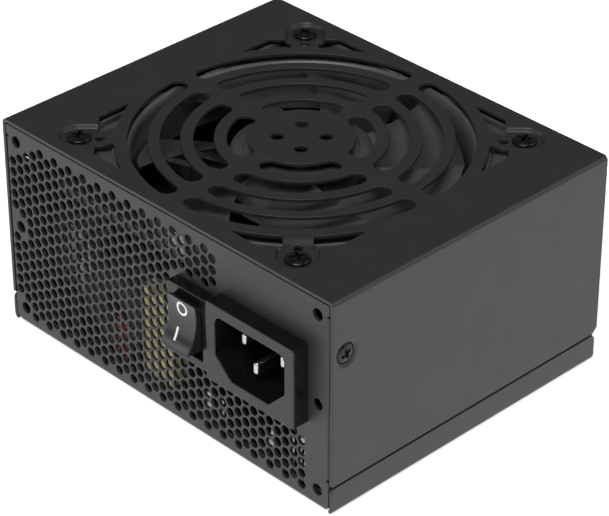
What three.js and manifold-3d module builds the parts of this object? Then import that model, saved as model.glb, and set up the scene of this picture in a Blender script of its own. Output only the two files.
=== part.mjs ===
// A compact computer power supply in the SFX size: a folded steel case with a punched fan grille, a
// perforated panel with a mains inlet and a rocker switch, a slim fan, the circuit board with its
// parts, and a panel of output sockets.
// Millimetres, +Z up. The origin is the centre of the underside. -Y is the mains side, where the
// perforated panel is, and +Y is the output side.

import * as THREE from "three";
import { mergeVertices } from "three/addons/utils/BufferGeometryUtils.js";
import Module from "manifold-3d";

// ---- Driving dimensions ----

const CASE = { width: 125, depth: 100, height: 63.5, sheet: 1, bend: 1.5, seam: 0.3 };
const HALF_W = CASE.width / 2;
const HALF_D = CASE.depth / 2;
const TOP = CASE.height;
const SHEET = CASE.sheet;
const STRIP_TOP = 8;
const COVER_FOOT = STRIP_TOP + 0.6;
const PANEL = { halfWidth: HALF_W - SHEET - CASE.seam, top: TOP - SHEET - CASE.seam, foot: 3, lip: 8 };

const FAN = { size: 92, height: 15, holeSpacing: 82.5, holeRadius: 2.15, bore: 44.6, flange: 3.4 };
const ROTOR = { hub: 19, tip: 43.4, blades: 7, span: 35, sweep: 13, rise: 8.4, thick: 1.1 };
const GRILLE = { firstSlot: 14.3, slot: 5.35, rib: 3.3, rings: 4, spoke: 2.3, rimOuter: 49.2 };
const SEAT = { sink: 1.2, radius: 5.7, tab: 4, cornerLimit: 45, diagonal: 76, dot: 37.4, dotRadius: 1.3 };

const MOUNT_HOLE = { x: 57.2, zs: [5.4, 31.6, 58], radius: 1.7 };
const VENT = { left: -60.4, right: 53, bottom: 2.6, top: 60, pitch: 10.08, web: 2.25 };
const INLET = { x: 38.1, z: 36.2, width: 31.8, height: 23.7, proud: 5, depth: 16.5, back: 14 };
const SOCKET = { width: 25, height: 17, chamfer: 5.7, corner: 2.5 };
const SWITCH = { x: 13.9, z: 35.3, width: 15.4, height: 21.6, proud: 3.5, back: 14, windowHeight: 16.6 };
const ROCKER = { width: 10.2, half: 6.9, face: 19, stem: 5.1, foot: 8.2, tilt: 14, pivotY: -51.2, pin: 1.2 };
const CONTACT = { pivotY: -42, half: 7, gap: 0.4 };
const SIDE_SCREW = { y: -45.3, z: 46.9 };
const BACK_SCREW = { x: 50, z: 56 };

const BOARD = { x: 59, front: -47.2, back: 38.2, z: 3.4, thick: 1.6, screwX: 54, screwYs: [-42, 34] };
const BOARD_TOP = BOARD.z + BOARD.thick;
const SEATED = BOARD_TOP + 0.05;
const MAINS_WIRE = 1.3;
const FAN_WIRE = 0.9;
const OUTPUT = { boardY: 38.6, boardThick: 1.6, faceY: HALF_D + 1.2, pitch: 4.2, cell: 3.4, wall: 0.6 };

/** The parts on the board: their centres, and their sizes along X, Y and Z or their radii. */
const ON_BOARD = {
  noiseFilterCapacitor: { x: -7, y: -43.4, width: 11.8, depth: 5.2, height: 27 },
  commonModeChoke: { x: -25.9, y: -40, inner: 4.6, outer: 12.4, thick: 11 },
  bridgeRectifier: { x: -48, y: -27.4, width: 20, depth: 3.4, height: 17 },
  rectifierHeatsink: { x: -49, y: -30.6, width: 20, height: 25, fins: 6, side: -1 },
  powerFactorChoke: { x: -40, y: -16, inner: 6, outer: 14.5, thick: 13 },
  bulkCapacitor: { x: -9, y: -14, radius: 12.6, height: 33, sides: 24 },
  primaryHeatsink: { x: -26, y: 8, width: 58, height: 31, fins: 13, side: -1 },
  mainTransformer: { x: 26, y: -8, width: 32, depth: 30, height: 30 },
  standbyTransformer: { x: 50, y: -12, width: 15, depth: 18, height: 18 },
  secondaryHeatsink: { x: 30, y: 14, width: 50, height: 28, fins: 9, side: 1 },
  outputCapacitor1: { x: -46, y: 24, radius: 5, height: 20, sides: 16 },
  outputCapacitor2: { x: -33, y: 24, radius: 5, height: 20, sides: 16 },
  outputChoke: { x: -14, y: 25, inner: 3.6, outer: 9, thick: 9 },
  converterBoard: { x: 27, y: 27, width: 44, depth: 1.6, height: 24 },
};

// ---- Solids from three.js geometry ----

const wasm = await Module();
wasm.setup();
const degrees = THREE.MathUtils.degToRad;

/** A closed three.js geometry as a solid that can be joined and cut. */
function solidOf(geometry) {
  const bare = new THREE.BufferGeometry();
  bare.setAttribute("position", geometry.getAttribute("position"));
  if (geometry.index) bare.setIndex(geometry.index);
  const merged = mergeVertices(bare, 1e-4);
  const triVerts = new Uint32Array(merged.index.array);
  const vertProperties = merged.getAttribute("position").array;
  return new wasm.Manifold(new wasm.Mesh({ numProp: 3, vertProperties, triVerts }));
}

/** A solid as a three.js geometry with flat faces, its coplanar triangles merged. */
function geometryOf(solid) {
  const mesh = solid.asOriginal().simplify(0.002).getMesh();
  const indexed = new THREE.BufferGeometry();
  indexed.setAttribute("position", new THREE.BufferAttribute(mesh.vertProperties, 3));
  indexed.setIndex(new THREE.BufferAttribute(mesh.triVerts, 1));
  const geometry = indexed.toNonIndexed();
  geometry.computeVertexNormals();
  return geometry;
}

const join = (...solids) => solids.reduce((whole, next) => whole.add(next));
const cut = (solid, ...tools) => tools.reduce((left, tool) => left.subtract(tool), solid);

/** A box between two opposite corners. */
function block([x0, y0, z0], [x1, y1, z1]) {
  const box = new THREE.BoxGeometry(x1 - x0, y1 - y0, z1 - z0);
  return solidOf(box.translate((x0 + x1) / 2, (y0 + y1) / 2, (z0 + z1) / 2));
}

/** A round bar or cone along an axis. centre holds its two other coordinates, in X, Y, Z order. */
function bar(axis, radius, from, to, centre, sides = 12, endRadius = radius) {
  const rod = new THREE.CylinderGeometry(endRadius, radius, to - from, sides);
  const middle = (from + to) / 2;
  const [u, v] = centre;
  if (axis === "x") return solidOf(rod.rotateZ(-Math.PI / 2).translate(middle, u, v));
  if (axis === "y") return solidOf(rod.translate(u, middle, v));
  return solidOf(rod.rotateX(Math.PI / 2).translate(u, v, middle));
}

/** A shape given thickness. plane names where its x and y go: "xy", "xz" or "yz". */
function slab(shape, plane, from, to, curveSegments = 5) {
  const plate = new THREE.ExtrudeGeometry(shape, { depth: to - from, bevelEnabled: false, curveSegments });
  if (plane === "xy") return solidOf(plate.translate(0, 0, from));
  if (plane === "xz") return solidOf(plate.rotateX(Math.PI / 2).translate(0, to, 0));
  const turn = new THREE.Matrix4();
  turn.makeBasis(new THREE.Vector3(0, 1, 0), new THREE.Vector3(0, 0, 1), new THREE.Vector3(1, 0, 0));
  return solidOf(plate.applyMatrix4(turn).translate(from, 0, 0));
}

/** A profile of [radius, height] points turned about the vertical line through x, y. */
function turned(profile, [x, y] = [0, 0], sides = 24) {
  const lathe = new THREE.LatheGeometry(profile.map(([r, z]) => new THREE.Vector2(r, z)), sides);
  return solidOf(lathe.rotateX(Math.PI / 2).translate(x, y, 0));
}

/** A ring about the vertical line through x, y. */
function ring(inner, outer, from, to, centre = [0, 0], sides = 24) {
  return turned([[inner, from], [outer, from], [outer, to], [inner, to], [inner, from]], centre, sides);
}

/** A round wire along a smooth curve through points. */
function wire(points, radius, steps, sides = 8) {
  const path = new THREE.CatmullRomCurve3(points.map((p) => new THREE.Vector3(...p)), false, "centripetal");
  const section = new THREE.Shape();
  for (let i = 0; i < sides; i++) {
    const angle = (2 * Math.PI * i) / sides;
    const move = i ? "lineTo" : "moveTo";
    section[move](radius * Math.cos(angle), radius * Math.sin(angle));
  }
  return solidOf(new THREE.ExtrudeGeometry(section, { steps, extrudePath: path, bevelEnabled: false }));
}

/** A closed outline through straight points. */
function outline(points) {
  const shape = new THREE.Shape();
  points.forEach(([x, y], i) => (i ? shape.lineTo(x, y) : shape.moveTo(x, y)));
  shape.closePath();
  return shape;
}

/** A rectangle with round corners between two opposite corners. */
function roundedRect(x0, y0, x1, y1, r) {
  const shape = new THREE.Shape();
  shape.moveTo(x0 + r, y0);
  shape.lineTo(x1 - r, y0);
  shape.absarc(x1 - r, y0 + r, r, -Math.PI / 2, 0);
  shape.absarc(x1 - r, y1 - r, r, 0, Math.PI / 2);
  shape.absarc(x0 + r, y1 - r, r, Math.PI / 2, Math.PI);
  shape.absarc(x0 + r, y0 + r, r, Math.PI, 1.5 * Math.PI);
  return shape;
}

// ---- The assembly ----

const powerSupply = new THREE.Group();
powerSupply.name = "power_supply";

/** Adds a solid to the assembly as a named mesh with its own material. */
function addPart(name, solid, color, roughness = 0.6, metalness = 0) {
  const material = new THREE.MeshStandardMaterial({ color, roughness, metalness });
  const mesh = new THREE.Mesh(geometryOf(solid), material);
  mesh.name = name;
  powerSupply.add(mesh);
}

const PAINTED_STEEL = [0x2b2b2c, 0.55, 0.3];
const BLACK_PLASTIC = [0x1c1c1d, 0.5, 0];
const BRIGHT_STEEL = [0xb9bbbd, 0.3, 1];
const BLACK_SCREW = [0x161616, 0.4, 0.8];
const BRASS = [0xb08d4a, 0.35, 1];
const COPPER = [0xa8612f, 0.4, 1];
const ALUMINIUM = [0xa9abad, 0.4, 1];
const GREEN_BOARD = [0x24452c, 0.6, 0];

// ---- Top cover ----

/** One quadrant of a ring slot with round ends that stop at the spokes. */
function ringSlot(inner, outer, quadrant) {
  const middle = (inner + outer) / 2;
  const cap = (outer - inner) / 2;
  const trim = Math.asin((GRILLE.spoke + cap) / middle);
  const start = trim + (quadrant * Math.PI) / 2;
  const end = ((quadrant + 1) * Math.PI) / 2 - trim;
  const shape = new THREE.Shape();
  shape.absarc(0, 0, outer, start, end);
  shape.absarc(middle * Math.cos(end), middle * Math.sin(end), cap, end, end + Math.PI);
  shape.absarc(0, 0, inner, end, start, true);
  shape.absarc(middle * Math.cos(start), middle * Math.sin(start), cap, start + Math.PI, start + 2 * Math.PI);
  return shape;
}

/** The area round one fan screw, a channel that runs from its round end in towards the fan. */
function seatOutline(halfWidth) {
  const shape = new THREE.Shape();
  const screwAt = (FAN.holeSpacing / 2) * Math.SQRT2;
  const mouth = SEAT.diagonal / Math.SQRT2;
  shape.moveTo(mouth, -halfWidth);
  shape.lineTo(screwAt, -halfWidth);
  shape.absarc(screwAt, 0, halfWidth, -Math.PI / 2, Math.PI / 2);
  shape.lineTo(mouth, halfWidth);
  shape.closePath();
  return shape;
}

/** A solid drawn with the diagonal to a corner along +X, turned to each of the four corners. */
const atCorners = (solid) => [45, 135, 225, 315].map((angle) => solid.rotate([0, 0, angle]));

/** The two openings beside the tab at one corner, with the diagonal along +X. */
function cornerOpenings() {
  const low = TOP - 5;
  const high = TOP + 1;
  const mouth = SEAT.diagonal / Math.SQRT2;
  const square = block([-SEAT.cornerLimit, -SEAT.cornerLimit, low], [SEAT.cornerLimit, SEAT.cornerLimit, high]);
  const within = block([0, -60, low], [mouth, 60, high]).intersect(square.rotate([0, 0, 45]));
  const rim = bar("z", GRILLE.rimOuter, low, high, [0, 0], 40);
  const tab = block([0, -SEAT.tab, low], [60, SEAT.tab, high]);
  return cut(within, rim, tab);
}

/** The sunk floor and walls at one fan screw, with the diagonal along +X. */
function sunkSeat() {
  const floor = TOP - SHEET - SEAT.sink;
  const mouth = SEAT.diagonal / Math.SQRT2;
  const cup = slab(seatOutline(SEAT.radius + SHEET), "xy", floor, TOP);
  const hollow = slab(seatOutline(SEAT.radius), "xy", floor + SHEET, TOP + 1);
  const entry = block([mouth - 1, -SEAT.radius, floor + SHEET], [mouth + 1, SEAT.radius, TOP + 1]);
  const tab = block([GRILLE.rimOuter - 1.3, -SEAT.tab, floor], [mouth + 0.1, SEAT.tab, floor + SHEET]);
  const step = block([GRILLE.rimOuter - 1.3, -SEAT.tab, floor], [GRILLE.rimOuter - 0.1, SEAT.tab, TOP]);
  return join(cut(cup, hollow, entry), tab, step);
}

function topCover() {
  const outer = CASE.bend;
  const inner = CASE.bend - SHEET;
  const profile = new THREE.Shape();
  profile.moveTo(HALF_W, COVER_FOOT);
  profile.absarc(HALF_W - outer, TOP - outer, outer, 0, Math.PI / 2);
  profile.absarc(outer - HALF_W, TOP - outer, outer, Math.PI / 2, Math.PI);
  profile.lineTo(-HALF_W, COVER_FOOT);
  profile.lineTo(SHEET - HALF_W, COVER_FOOT);
  profile.absarc(outer - HALF_W, TOP - outer, inner, Math.PI, Math.PI / 2, true);
  profile.absarc(HALF_W - outer, TOP - outer, inner, Math.PI / 2, 0, true);
  profile.lineTo(HALF_W - SHEET, COVER_FOOT);
  profile.closePath();
  const shell = slab(profile, "xz", -HALF_D, HALF_D, 3);
  const backLip = block([-58, HALF_D - 2.3, 50], [58, HALF_D - 1.3, TOP - SHEET]);

  const low = TOP - 5;
  const high = TOP + 1;
  const slots = [];
  for (let n = 0; n < GRILLE.rings; n++) {
    const from = GRILLE.firstSlot + n * (GRILLE.slot + GRILLE.rib);
    for (let quadrant = 0; quadrant < 4; quadrant++) {
      slots.push(slab(ringSlot(from, from + GRILLE.slot, quadrant), "xy", low, high, 5));
    }
  }
  const hubDots = [[1, 1], [1, -1], [-1, 1], [-1, -1]].map(([i, j]) =>
    bar("z", 1.7, low, high, [4.55 * i, 4.55 * j], 12),
  );
  const seatHoles = atCorners(slab(seatOutline(SEAT.radius + 0.5), "xy", TOP - SHEET - 0.5, high));
  const openings = atCorners(cornerOpenings());
  const tabGaps = atCorners(
    block([GRILLE.rimOuter, -SEAT.tab - 0.1, TOP - SHEET - 0.1], [SEAT.diagonal / Math.SQRT2 + 0.2, SEAT.tab + 0.1, high]),
  );
  const seats = atCorners(sunkSeat());
  const screwHoles = atCorners(bar("z", 2.4, low, high, [(FAN.holeSpacing / 2) * Math.SQRT2, 0]));
  const dots = atCorners(bar("z", SEAT.dotRadius, low, high, [SEAT.dot * Math.SQRT2, 0], 12));

  const sideHoles = [-1, 1].map((side) => {
    const [inside, outside] = [side * (HALF_W - SHEET - 0.5), side * (HALF_W + 0.5)];
    const [from, to] = side > 0 ? [inside, outside] : [outside, inside];
    const radii = side > 0 ? [1.6, 3.6] : [3.6, 1.6];
    return bar("x", radii[0], from, to, [SIDE_SCREW.y, SIDE_SCREW.z], 16, radii[1]);
  });
  const backHoles = [-1, 1].map((side) =>
    bar("y", 1.8, HALF_D - 3, HALF_D, [side * BACK_SCREW.x, BACK_SCREW.z], 12),
  );
  const plain = cut(join(shell, backLip), ...slots, ...hubDots, ...seatHoles, ...openings, ...tabGaps);
  return cut(join(plain, ...seats), ...screwHoles, ...dots, ...openings, ...sideHoles, ...backHoles);
}

addPart("top_cover", topCover(), ...PAINTED_STEEL);

// ---- Base: floor, mains panel and output panel ----

function baseFloor() {
  const outer = CASE.bend;
  const inner = CASE.bend - SHEET;
  const profile = new THREE.Shape();
  profile.moveTo(-HALF_W, STRIP_TOP);
  profile.absarc(outer - HALF_W, outer, outer, Math.PI, 1.5 * Math.PI);
  profile.absarc(HALF_W - outer, outer, outer, -Math.PI / 2, 0);
  profile.lineTo(HALF_W, STRIP_TOP);
  profile.lineTo(HALF_W - SHEET, STRIP_TOP);
  profile.absarc(HALF_W - outer, outer, inner, 0, -Math.PI / 2, true);
  profile.absarc(outer - HALF_W, outer, inner, 1.5 * Math.PI, Math.PI, true);
  profile.lineTo(SHEET - HALF_W, STRIP_TOP);
  profile.closePath();
  const reach = HALF_D - 0.7;
  const tray = slab(profile, "xz", -reach, reach, 3);
  const panelEdge = HALF_D - PANEL.foot;
  const reliefs = [-1, 1].map((side) => {
    const [from, to] = side > 0 ? [panelEdge, HALF_D + 1] : [-HALF_D - 1, -panelEdge];
    return block([-PANEL.halfWidth, from, -1], [PANEL.halfWidth, to, STRIP_TOP + 1]);
  });
  const bosses = BOARD.screwYs.flatMap((y) =>
    [-1, 1].map((side) => bar("z", 3, 0, BOARD.z, [side * BOARD.screwX, y], 16)),
  );
  const threads = BOARD.screwYs.flatMap((y) =>
    [-1, 1].map((side) => bar("z", 1.6, -1, BOARD.z + 1, [side * BOARD.screwX, y], 12)),
  );
  return cut(join(cut(tray, ...reliefs), ...bosses), ...threads);
}

/** The foot that turns from a panel's face, at y 0 and facing -Y, into the floor. */
function panelFoot(halfWidth) {
  const outer = CASE.bend;
  const inner = CASE.bend - SHEET;
  const profile = new THREE.Shape();
  profile.moveTo(0, 4);
  profile.absarc(outer, outer, outer, Math.PI, 1.5 * Math.PI);
  profile.lineTo(PANEL.foot, 0);
  profile.lineTo(PANEL.foot, SHEET);
  profile.absarc(outer, outer, inner, 1.5 * Math.PI, Math.PI, true);
  profile.lineTo(SHEET, 4);
  profile.closePath();
  return slab(profile, "yz", -halfWidth, halfWidth, 4);
}

/** A panel's lips, which fold in at both sides, from a face at y 0 facing -Y. */
function panelLips() {
  const side = (from, to) => block([from, SHEET / 2, 10], [to, SHEET + PANEL.lip, 58.5]);
  const edge = PANEL.halfWidth;
  return join(side(-edge, SHEET - edge), side(edge - SHEET, edge));
}

/** A flat panel with its foot and lips, its face at y 0 facing -Y. holes are cut through the sheet. */
function foldedPanel(holes) {
  const face = slab(roundedRect(-PANEL.halfWidth, 1.2, PANEL.halfWidth, PANEL.top, 1), "xz", 0, SHEET);
  const folded = join(face, panelFoot(PANEL.halfWidth - 1.4), panelLips());
  return cut(folded, ...holes.map((hole) => slab(hole, "xz", -1, SHEET + 0.4)));
}

/** A round hole as an outline. */
function roundHole(x, z, radius) {
  const shape = new THREE.Shape();
  shape.absarc(x, z, radius, 0, 2 * Math.PI);
  return shape;
}

/** True if a vent hexagon of the given reach, centred at x, z, stays clear of all that shares the panel. */
function ventFits(x, z, reach) {
  const inside = x - reach > VENT.left && x + reach < VENT.right && z - reach > VENT.bottom && z + reach < VENT.top;
  const besideInlet = x + reach > INLET.x - INLET.width / 2 && z + reach > 21.5;
  const besideSwitch =
    Math.abs(x - SWITCH.x) < SWITCH.width / 2 + reach && Math.abs(z - SWITCH.z) < SWITCH.height / 2 + reach;
  const besideScrew = MOUNT_HOLE.zs.some((hole) => Math.hypot(x + MOUNT_HOLE.x, z - hole) < reach + 2.6);
  return inside && !besideInlet && !besideSwitch && !besideScrew;
}

/** The vent field: hexagons in close rows, with the open share of a field of a third of their pitch. */
function ventHoles() {
  const reach = (VENT.pitch - VENT.web) / 2;
  const column = VENT.pitch * Math.sin(Math.PI / 3);
  const holes = [];
  for (let k = 0; VENT.left + k * column < VENT.right; k++) {
    for (let n = 0; n * VENT.pitch < TOP; n++) {
      const x = VENT.left + reach * 1.2 + k * column;
      const z = VENT.bottom + reach + 0.2 + (n + (k % 2) / 2) * VENT.pitch;
      if (!ventFits(x, z, reach)) continue;
      const corner = reach / Math.cos(Math.PI / 6);
      const at = (i) => [x + corner * Math.cos((i * Math.PI) / 3), z + corner * Math.sin((i * Math.PI) / 3)];
      holes.push(outline([0, 1, 2, 3, 4, 5].map(at)));
    }
  }
  return holes;
}

const mountHoles = MOUNT_HOLE.zs.flatMap((z) => [
  roundHole(-MOUNT_HOLE.x, z, MOUNT_HOLE.radius),
  roundHole(MOUNT_HOLE.x, z, MOUNT_HOLE.radius),
]);

/** A rectangular hole about a centre. */
const opening = (x, z, width, height) =>
  outline([
    [x - width / 2, z - height / 2],
    [x + width / 2, z - height / 2],
    [x + width / 2, z + height / 2],
    [x - width / 2, z + height / 2],
  ]);

const INLET_BODY = { width: 28, height: 19.4 };
const SWITCH_BODY = { width: 13, height: 19.2 };

function inletPanel() {
  const windows = [
    opening(INLET.x, INLET.z, INLET_BODY.width + 0.6, INLET_BODY.height + 0.6),
    opening(SWITCH.x, SWITCH.z, SWITCH_BODY.width + 0.6, SWITCH_BODY.height + 0.6),
  ];
  const topLip = block([-32, SHEET / 2, PANEL.top - SHEET], [32, 3.5, PANEL.top]);
  const panel = join(foldedPanel([...mountHoles, ...windows, ...ventHoles()]), topLip).translate([0, -HALF_D, 0]);
  return cut(panel, bar("x", 1.3, -HALF_W, HALF_W, [SIDE_SCREW.y, SIDE_SCREW.z], 12));
}

addPart("base_floor", baseFloor(), ...PAINTED_STEEL);
addPart("inlet_panel", inletPanel(), ...PAINTED_STEEL);

// ---- Output sockets and the panel they look through ----

const OUTPUT_SOCKETS = [
  { name: "motherboard_socket", x: -27, z: 17, columns: 12 },
  { name: "peripheral_socket_1", x: 14, z: 17, columns: 3 },
  { name: "peripheral_socket_2", x: 37, z: 17, columns: 3 },
  { name: "processor_socket", x: -40, z: 35, columns: 4 },
  { name: "graphics_socket_1", x: -9, z: 35, columns: 4 },
  { name: "graphics_socket_2", x: 22, z: 35, columns: 4 },
];
const socketWidth = (columns) => columns * OUTPUT.pitch + 2 * OUTPUT.wall;
const SOCKET_HEIGHT = 2 * OUTPUT.pitch + 2 * OUTPUT.wall;

/** A socket of two rows of square cells that open towards +Y, with the ramp that a plug's latch holds. */
function outputSocket({ x, z, columns }) {
  const back = OUTPUT.boardY + OUTPUT.boardThick + 0.05;
  const halfWidth = socketWidth(columns) / 2;
  const body = block([x - halfWidth, back, z - SOCKET_HEIGHT / 2], [x + halfWidth, OUTPUT.faceY, z + SOCKET_HEIGHT / 2]);
  const ramp = block([x - 2, back + 1, z + SOCKET_HEIGHT / 2], [x + 2, OUTPUT.faceY - 0.6, z + SOCKET_HEIGHT / 2 + 1]);
  const cells = [];
  for (let column = 0; column < columns; column++) {
    for (const row of [-0.5, 0.5]) {
      const cx = x + (column - (columns - 1) / 2) * OUTPUT.pitch;
      const cz = z + row * OUTPUT.pitch;
      const half = OUTPUT.cell / 2;
      cells.push(block([cx - half, back + 2, cz - half], [cx + half, OUTPUT.faceY + 1, cz + half]));
    }
  }
  return cut(join(body, ramp), ...cells);
}

function socketPanel() {
  const windows = OUTPUT_SOCKETS.map(({ x, z, columns }) =>
    opening(-x, z + 0.5, socketWidth(columns) + 0.6, SOCKET_HEIGHT + 1.6),
  );
  const screws = [-1, 1].map((side) => roundHole(side * BACK_SCREW.x, BACK_SCREW.z, 1.8));
  return foldedPanel([...windows, ...screws]).rotate([0, 0, 180]).translate([0, HALF_D, 0]);
}

addPart("socket_panel", socketPanel(), ...PAINTED_STEEL);
addPart(
  "socket_board",
  block([-57, OUTPUT.boardY, 8], [57, OUTPUT.boardY + OUTPUT.boardThick, 44]),
  ...GREEN_BOARD,
);
for (const socket of OUTPUT_SOCKETS) addPart(socket.name, outputSocket(socket), ...BLACK_PLASTIC);

// ---- Screws ----

/** A cross-recess screw that points along -Z, the top of its head at z 0. */
function screw(headRadius, headHeight, shankRadius, length, seatRadius = headRadius) {
  const head = bar("z", seatRadius, -headHeight, 0, [0, 0], 12, headRadius);
  const shank = bar("z", shankRadius, -length, -headHeight + 0.1, [0, 0], 6);
  const depth = headHeight * 0.7;
  const arm = headRadius * 0.55;
  const slots = [
    block([-arm, -0.35, -depth], [arm, 0.35, 1]),
    block([-0.35, -arm, -depth], [0.35, arm, 1]),
  ];
  return cut(join(head, shank), ...slots);
}

const CORNER_NAMES = [
  ["front_left", -1, -1],
  ["front_right", 1, -1],
  ["back_left", -1, 1],
  ["back_right", 1, 1],
];
for (const [corner, i, j] of CORNER_NAMES) {
  const at = FAN.holeSpacing / 2;
  const fanScrew = screw(3.2, SEAT.sink, 1.8, 8).translate([i * at, j * at, TOP]);
  addPart(`fan_screw_${corner}`, fanScrew, ...BLACK_SCREW);
  const y = j < 0 ? BOARD.screwYs[0] : BOARD.screwYs[1];
  const boardScrew = screw(2.8, 1.6, 1.25, 6).translate([i * BOARD.screwX, y, BOARD_TOP + 1.65]);
  addPart(`board_screw_${corner}`, boardScrew, ...BRIGHT_STEEL);
}
const sideScrew = screw(2.8, SHEET, 1, 5, 1);
addPart(
  "cover_screw_right",
  sideScrew.rotate([0, 90, 0]).translate([HALF_W, SIDE_SCREW.y, SIDE_SCREW.z]),
  ...BLACK_SCREW,
);
addPart(
  "cover_screw_left",
  sideScrew.rotate([0, -90, 0]).translate([-HALF_W, SIDE_SCREW.y, SIDE_SCREW.z]),
  ...BLACK_SCREW,
);
for (const [name, side] of [["cover_screw_back_left", -1], ["cover_screw_back_right", 1]]) {
  const backScrew = screw(2.8, 1.6, 1.25, 6).rotate([-90, 0, 0]);
  addPart(name, backScrew.translate([side * BACK_SCREW.x, HALF_D + 1.65, BACK_SCREW.z]), ...BLACK_SCREW);
}

// ---- Mains inlet ----

/** The outline of the plug's space in the inlet, with its two lower corners cut off. */
function plugOutline() {
  const [w, h, c, r] = [SOCKET.width / 2, SOCKET.height / 2, SOCKET.chamfer, SOCKET.corner];
  const shape = new THREE.Shape();
  shape.moveTo(c - w, -h);
  shape.lineTo(w - c, -h);
  shape.lineTo(w, c - h);
  shape.absarc(w - r, h - r, r, 0, Math.PI / 2);
  shape.absarc(r - w, h - r, r, Math.PI / 2, Math.PI);
  shape.lineTo(-w, c - h);
  shape.closePath();
  return shape;
}

const INLET_FACE = -HALF_D - INLET.proud;
const INLET_FLOOR = INLET_FACE + INLET.depth;
const INLET_BACK = -HALF_D + INLET.back;
const INLET_PINS = [
  { name: "inlet_pin_line", dx: -7, dz: 2, tip: 4.6 },
  { name: "inlet_pin_neutral", dx: 7, dz: 2, tip: 4.6 },
  { name: "inlet_pin_earth", dx: 0, dz: -2.2, tip: 2 },
];

function inletHousing() {
  const { x, z, width, height } = INLET;
  const rim = roundedRect(x - width / 2, z - height / 2, x + width / 2, z + height / 2, 0.8);
  const flange = slab(rim, "xz", INLET_FACE, -HALF_D, 3);
  const [bw, bh] = [INLET_BODY.width / 2, INLET_BODY.height / 2];
  const body = block([x - bw, -HALF_D - 1, z - bh], [x + bw, INLET_BACK, z + bh]);
  const plugSpace = slab(plugOutline(), "xz", INLET_FACE - 1, INLET_FLOOR, 4).translate([x, 0, z]);
  const pinSlots = INLET_PINS.map(({ dx, dz }) =>
    block([x + dx - 1.3, INLET_FLOOR - 1, z + dz - 2.3], [x + dx + 1.3, INLET_BACK + 1, z + dz + 2.3]),
  );
  return cut(join(flange, body), plugSpace, ...pinSlots);
}

addPart("inlet_housing", inletHousing(), ...BLACK_PLASTIC);
for (const { name, dx, dz, tip } of INLET_PINS) {
  const [x, z] = [INLET.x + dx, INLET.z + dz];
  const blade = block([x - 1, INLET_FACE + tip, z - 2], [x + 1, INLET_BACK + 4.6, z + 2]);
  addPart(name, blade, ...BRIGHT_STEEL);
}

// ---- Rocker switch ----

const SWITCH_BACK = -HALF_D + SWITCH.back;

function switchHousing() {
  const { x, z, width, height } = SWITCH;
  const bezel = roundedRect(x - width / 2, z - height / 2, x + width / 2, z + height / 2, 0.6);
  const flange = slab(bezel, "xz", -HALF_D - SWITCH.proud, -HALF_D, 3);
  const [bw, bh] = [SWITCH_BODY.width / 2, SWITCH_BODY.height / 2];
  const body = block([x - bw, -HALF_D - 1, z - bh], [x + bw, SWITCH_BACK, z + bh]);
  const [ww, wh] = [ROCKER.width / 2 + 0.3, SWITCH.windowHeight / 2];
  const hollow = block([x - ww, -HALF_D - 10, z - wh], [x + ww, SWITCH_BACK - 2, z + wh]);
  const pinHoles = bar("x", ROCKER.pin + 0.15, x - bw - 1, x + bw + 1, [ROCKER.pivotY, z], 16);
  const terminalSlots = [0, 6].map((dz) =>
    block([x - 2.7, SWITCH_BACK - 3, z + dz - 0.7], [x + 2.7, SWITCH_BACK + 1, z + dz + 0.7]),
  );
  return cut(join(flange, body), hollow, pinHoles, ...terminalSlots);
}

/** The rocker in its own frame, level, with its pivot at the origin and its face towards -Y. */
function levelRocker() {
  const { half, face, stem, foot, width, pin } = ROCKER;
  const bulge = Math.asin(half / face);
  const rise = face - face * Math.cos(bulge);
  const profile = new THREE.Shape();
  profile.moveTo(-stem - rise, half);
  profile.absarc(-stem - face, 0, face, bulge, -bulge, true);
  profile.lineTo(0.4, -half + 1);
  profile.lineTo(1.4, -2.2);
  profile.lineTo(foot, -0.9);
  profile.lineTo(foot, 0.9);
  profile.lineTo(1.4, 2.2);
  profile.lineTo(0.4, half - 1);
  profile.closePath();
  const body = slab(profile, "yz", -width / 2, width / 2, 10);
  const pins = bar("x", pin, -width / 2 - 1, width / 2 + 1, [0, 0], 16);
  return join(body, pins);
}

/** The contact arm in its own frame, level, facing -Y, with its pivot at the origin. */
function levelContactArm() {
  const strip = block([-2, -0.6, -CONTACT.half], [2, 0, CONTACT.half]);
  const contact = bar("y", 1.3, -0.1, 0.7, [0, 6], 12);
  return join(strip, contact);
}

addPart("switch_housing", switchHousing(), ...BLACK_PLASTIC);
addPart(
  "switch_rocker",
  levelRocker().rotate([-ROCKER.tilt, 0, 0]).translate([SWITCH.x, ROCKER.pivotY, SWITCH.z]),
  0x2f2f30,
  0.4,
);
addPart(
  "switch_contact_arm",
  levelContactArm().rotate([ROCKER.tilt / 2, 0, 0]).translate([SWITCH.x, CONTACT.pivotY, SWITCH.z]),
  ...BRASS,
);
const TERMINAL_END = SWITCH_BACK + 6;
const commonPost = block([-2.4, CONTACT.pivotY + CONTACT.gap, -0.4], [2.4, TERMINAL_END, 0.4]);
const loadPost = join(
  block([-2.4, SWITCH_BACK - 4, -0.4], [2.4, TERMINAL_END, 0.4]),
  bar("y", 1.3, SWITCH_BACK - 4.3, SWITCH_BACK - 3.9, [0, 0.4]),
  block([-2.4, SWITCH_BACK - 4, -0.4], [2.4, SWITCH_BACK - 3.2, 1.8]),
);
addPart("switch_terminal_common", commonPost.translate([SWITCH.x, 0, SWITCH.z]), ...BRASS);
addPart("switch_terminal_load", loadPost.translate([SWITCH.x, 0, SWITCH.z + 6]), ...BRASS);

// ---- Fan ----

const FAN_TOP = TOP - SHEET - SEAT.sink;
const FAN_LOW = FAN_TOP - FAN.height;

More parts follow.
